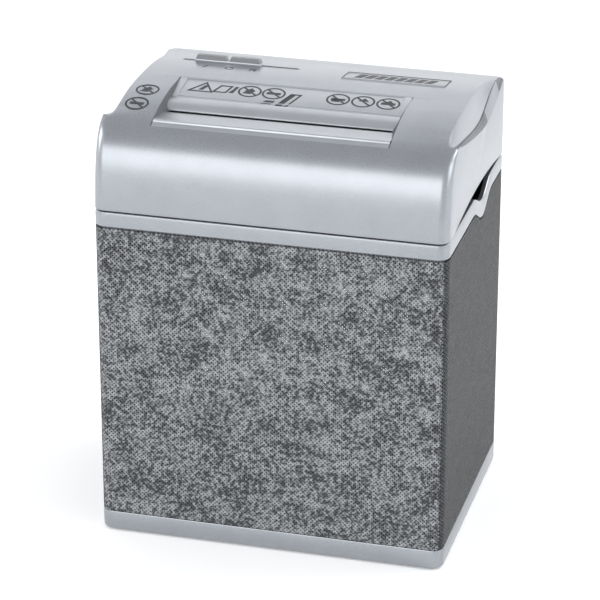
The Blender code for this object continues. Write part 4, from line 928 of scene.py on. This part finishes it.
def notch_dip(x, y, depth):
    """How far an edge of the bin dips for the fingers, in the middle of each side."""
    if abs(x) < HALF_WIDTH - BIN_CORNER or abs(y - NOTCH_Y) > NOTCH_HALF:
        return 0.0
    return depth * 0.5 * (1 + math.cos(math.pi * (y - NOTCH_Y) / NOTCH_HALF))


def swept(section, closed=True):
    """A band round the bin from a section of (inset, z, dip)."""
    rows = []
    for inset, z, dip in section:
        rows.append([(x, y, z - notch_dip(x, y, dip)) for x, y in perimeter(inset)])
    rows = [row + row[:1] for row in rows]
    return grid(rows, wrap=closed)


def make_rim(finishes):
    """Rounded band with a skirt inside, and the tab that presses the head's interlock."""
    top, low = RIM_HIGH.z, RIM_HIGH.z - RIM_HEIGHT
    skirt = low - RIM_SKIRT
    upper, lower = NOTCH_TOP_DIP, NOTCH_FOOT_DIP
    section = (
        (0.35, low, lower), (0.0, low + 0.5, lower), (0.0, top - 2.1, upper), (0.5, top - 0.4, upper),
        (1.0, top, upper), (3.4, top, upper), (3.9, top - 0.5, upper), (4.0, skirt, lower),
        (2.0, skirt, lower), (2.0, low, lower),
    )
    wall, tab_top = -HALF_WIDTH + RIM_WALL, SEAT - TAB_DROP
    front, back, end = TAB_Y - TAB_HALF, TAB_Y + TAB_HALF, wall + TAB_REACH
    tab = slab([(wall, front), (end, front), (end, back), (wall, back)], tab_top - TAB_HEIGHT, tab_top)
    verts, faces = merge([swept(section), tab])
    rim = finish_mesh("rim_band", verts, faces, finishes["silver_plastic"], "bin")
    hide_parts("bin_rim")


def make_base(finishes):
    """Tray with a rounded outer edge, closed below and inside."""
    foot, top = BASE_LOW.z, BASE_TOP
    ledge = top + BASE_UPSTAND
    section = (
        (2.2, foot, 0), (0.9, foot + 0.3, 0), (0.2, foot + 1.1, 0), (0.0, foot + 2.2, 0),
        (0.0, top - 1.0, 0), (0.3, top - 0.3, 0), (0.9, top, 0), (2.0, top, 0), (2.0, ledge, 0),
        (4.0, ledge, 0), (4.0, BASE_FLOOR, 0),
    )
    verts, faces = swept(section, closed=False)
    row = len(verts) // len(section)
    faces.append(tuple(range(row - 1)))
    faces.append(tuple(range(len(verts) - row, len(verts) - 1)))
    base = finish_mesh("base_shell", verts, faces, finishes["silver_plastic"], "bin")
    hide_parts("base_tray")


def around(distance):
    """Place and outward direction on the mesh's outline, a distance on from the middle of its front."""
    radius = BIN_CORNER - MESH_INSET
    half_w, half_d = HALF_WIDTH - MESH_INSET, HALF_DEPTH - MESH_INSET
    arc = math.pi / 2 * radius
    width, depth = 2 * (half_w - radius), 2 * (half_d - radius)
    flats = (width / 2, depth, width, depth, width / 2)
    place, heading = Vector((0.0, -half_d)), 0.0
    for i, flat in enumerate(flats):
        ahead = Vector((math.cos(heading), math.sin(heading)))
        out = Vector((ahead.y, -ahead.x))
        if distance <= flat or i == len(flats) - 1:
            return place + ahead * distance, out
        distance -= flat
        centre = place + ahead * flat - out * radius
        if distance <= arc:
            angle = math.atan2(out.y, out.x) + distance / radius
            out = Vector((math.cos(angle), math.sin(angle)))
            return centre + out * radius, out
        distance -= arc
        heading += math.pi / 2
        place = centre + Vector((math.sin(heading), -math.cos(heading))) * radius


def outline_length():
    radius = BIN_CORNER - MESH_INSET
    return 4 * (HALF_WIDTH + HALF_DEPTH - 2 * MESH_INSET - 2 * radius) + 2 * math.pi * radius


def diamond(column, row, pitch, low):
    """Four strands round one opening, as points along the outline and up it: (distance, z)."""
    half = pitch / 2
    centre = (column * pitch + (row % 2) * half, low + row * half)
    corners = ((half, 0.0), (0.0, half), (-half, 0.0), (0.0, -half))
    outer = [(centre[0] + a, centre[1] + b) for a, b in corners]
    keep = 1 - STRAND_SHARE
    inner = [(centre[0] + a * keep, centre[1] + b * keep) for a, b in corners]
    return outer, inner


def mesh_top(x, y):
    return MESH_HIGH.z - MESH_TOP_GAP - notch_dip(x, y, NOTCH_FOOT_DIP)


def make_mesh_panel(name, start, stop, pitch, finish):
    """Expanded metal with open diamonds between two distances along the outline."""
    low, high = MESH_LOW.z, MESH_HIGH.z
    rows = int((high - low) / (pitch / 2)) + 2
    verts, faces, known = [], [], {}

    def vertex(distance, z):
        key = (round(distance, 3), round(z, 3))
        if key not in known:
            place = around(distance % outline_length())[0]
            top = mesh_top(place.x, place.y)
            known[key] = len(verts)
            verts.append((place.x, place.y, max(low, min(z, top))))
        return known[key]

    for column in range(start, stop):
        for row in range(rows):
            outer, inner = diamond(column, row, pitch, low)
            a, b = [vertex(*p) for p in outer], [vertex(*p) for p in inner]
            for k in range(4):
                quad = (a[k], a[(k + 1) % 4], b[(k + 1) % 4], b[k])
                heights = {round(verts[i][2], 3) for i in quad}
                if len(heights) > 1:
                    faces.append(quad)
    panel = finish_mesh(name, verts, faces, finish, "bin")
    thicken(panel, STRAND_THICKNESS)
    apply_modifiers(panel)
    return panel


def make_mesh(finishes):
    """Four panels that meet in the middles of the rounded corners."""
    columns = round(outline_length() / MESH_PITCH)
    pitch = outline_length() / columns
    arc = math.pi / 4 * (BIN_CORNER - MESH_INSET)
    half_front = round((HALF_WIDTH - BIN_CORNER + arc) / pitch)
    side = round((2 * (HALF_DEPTH - BIN_CORNER) + 2 * arc) / pitch)
    last = columns - half_front
    splits = (-half_front, half_front, half_front + side, last - side, last)
    # The side panels get the darker copy of the mesh paint as painted shade; front and back keep the plain
    # one.
    bright, dark = finishes["mesh_steel"], finishes["side_mesh_shade"]
    kinds = (("mesh_front", bright), ("mesh_right", dark), ("mesh_back", bright), ("mesh_left", dark))
    panels = [
        make_mesh_panel(name, start, stop, pitch, finish)
        for (name, finish), start, stop in zip(kinds, splits, splits[1:])
    ]
    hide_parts("bin_mesh")


# ---------------------------------------------------------------- studio


def make_floor():
    """Pale floor that turns up into a backdrop."""
    material, tree, shader = new_material("studio_paper", FLOOR_COLOUR, 0.7)
    shader.inputs["Emission Color"].default_value = (1.0, 1.0, 1.0, 1.0)
    shader.inputs["Emission Strength"].default_value = FLOOR_GLOW
    drift = noise(tree, 3.0)
    tree.links.new(ramp(tree, drift, FLOOR_DARK, FLOOR_LIGHT), shader.inputs["Base Color"])
    section = [(FLOOR_FRONT, 0.0), (FLOOR_BACK, 0.0)]
    for k in range(1, BACKDROP_STEPS + 1):
        angle = math.pi / 2 * k / BACKDROP_STEPS
        y = FLOOR_BACK + BACKDROP_RADIUS * math.sin(angle)
        section.append((y, BACKDROP_RADIUS * (1 - math.cos(angle))))
    section.append((FLOOR_BACK + BACKDROP_RADIUS, BACKDROP_TOP))
    verts, faces = grid([[(x, y, z) for x in (-FLOOR_HALF, FLOOR_HALF)] for y, z in section])
    mesh = bpy.data.meshes.new("studio_floor")
    mesh.from_pydata([tuple(c * MM for c in v) for v in verts], [], faces)
    mesh.materials.append(material)
    mesh.shade_smooth()
    floor = bpy.data.objects.new("studio_floor", mesh)
    bpy.context.scene.collection.objects.link(floor)


def aimed(place, direction):
    """Matrix of a light or camera at a place that looks along a direction."""
    turn = direction.to_track_quat("-Z", "Y").to_matrix().to_4x4()
    return Matrix.Translation(place) @ turn


def make_light(name, place, width, height, power):
    data = bpy.data.lights.new(name, "AREA")
    data.shape = "RECTANGLE"
    data.size, data.size_y, data.energy = width, height, power
    light = bpy.data.objects.new(name, data)
    bpy.context.scene.collection.objects.link(light)
    light.matrix_world = aimed(place, Vector(LIGHT_TARGET) - Vector(place))


def make_room():
    """Pale surroundings, brightest at the horizon and dimmer overhead."""
    world = bpy.data.worlds.new("studio_world")
    world.use_nodes = True
    tree = world.node_tree
    place = tree.nodes.new("ShaderNodeTexCoord")
    split = tree.nodes.new("ShaderNodeSeparateXYZ")
    sky = tree.nodes.new("ShaderNodeValToRGB")
    stops = sky.color_ramp.elements
    for _ in ROOM[2:]:
        stops.new(1.0)
    for stop, (position, value) in zip(stops, ROOM):
        stop.position = position
        stop.color = (*(value * tint for tint in ROOM_TINT), 1.0)
    background = tree.nodes["Background"]
    tree.links.new(place.outputs["Generated"], split.inputs["Vector"])
    tree.links.new(split.outputs["Z"], sky.inputs["Fac"])
    tree.links.new(sky.outputs["Color"], background.inputs["Color"])
    background.inputs["Strength"].default_value = ROOM_STRENGTH
    bpy.context.scene.world = world
    bpy.context.scene.view_settings.view_transform = "Standard"


def make_camera():
    """Camera at the viewing angle the object is shown from."""
    across = math.cos(CAMERA_ELEVATION)
    away = Vector((
        across * math.sin(CAMERA_AZIMUTH),
        -across * math.cos(CAMERA_AZIMUTH),
        math.sin(CAMERA_ELEVATION),
    ))
    data = bpy.data.cameras.new("camera")
    data.lens, data.sensor_width = CAMERA_LENS, CAMERA_SENSOR
    camera = bpy.data.objects.new("camera", data)
    bpy.context.scene.collection.objects.link(camera)
    camera.matrix_world = aimed(CAMERA_TARGET + away * CAMERA_DISTANCE, -away)
    bpy.context.scene.camera = camera


def main():
    finishes = make_finishes()
    paint_cad_nodes(finishes)
    make_cover(finishes)
    make_cheeks(finishes)
    make_entry_panel(finishes)
    make_front_guide(finishes)
    make_throat(finishes)
    make_entry_marks(finishes)
    make_switch_marks(finishes)
    make_badge(finishes)
    make_switch_well(finishes)
    make_switch_knob(finishes)
    make_rim(finishes)
    make_base(finishes)
    make_mesh(finishes)
    make_floor()
    for light in LIGHTS:
        make_light(*light)
    make_room()
    make_camera()


main()
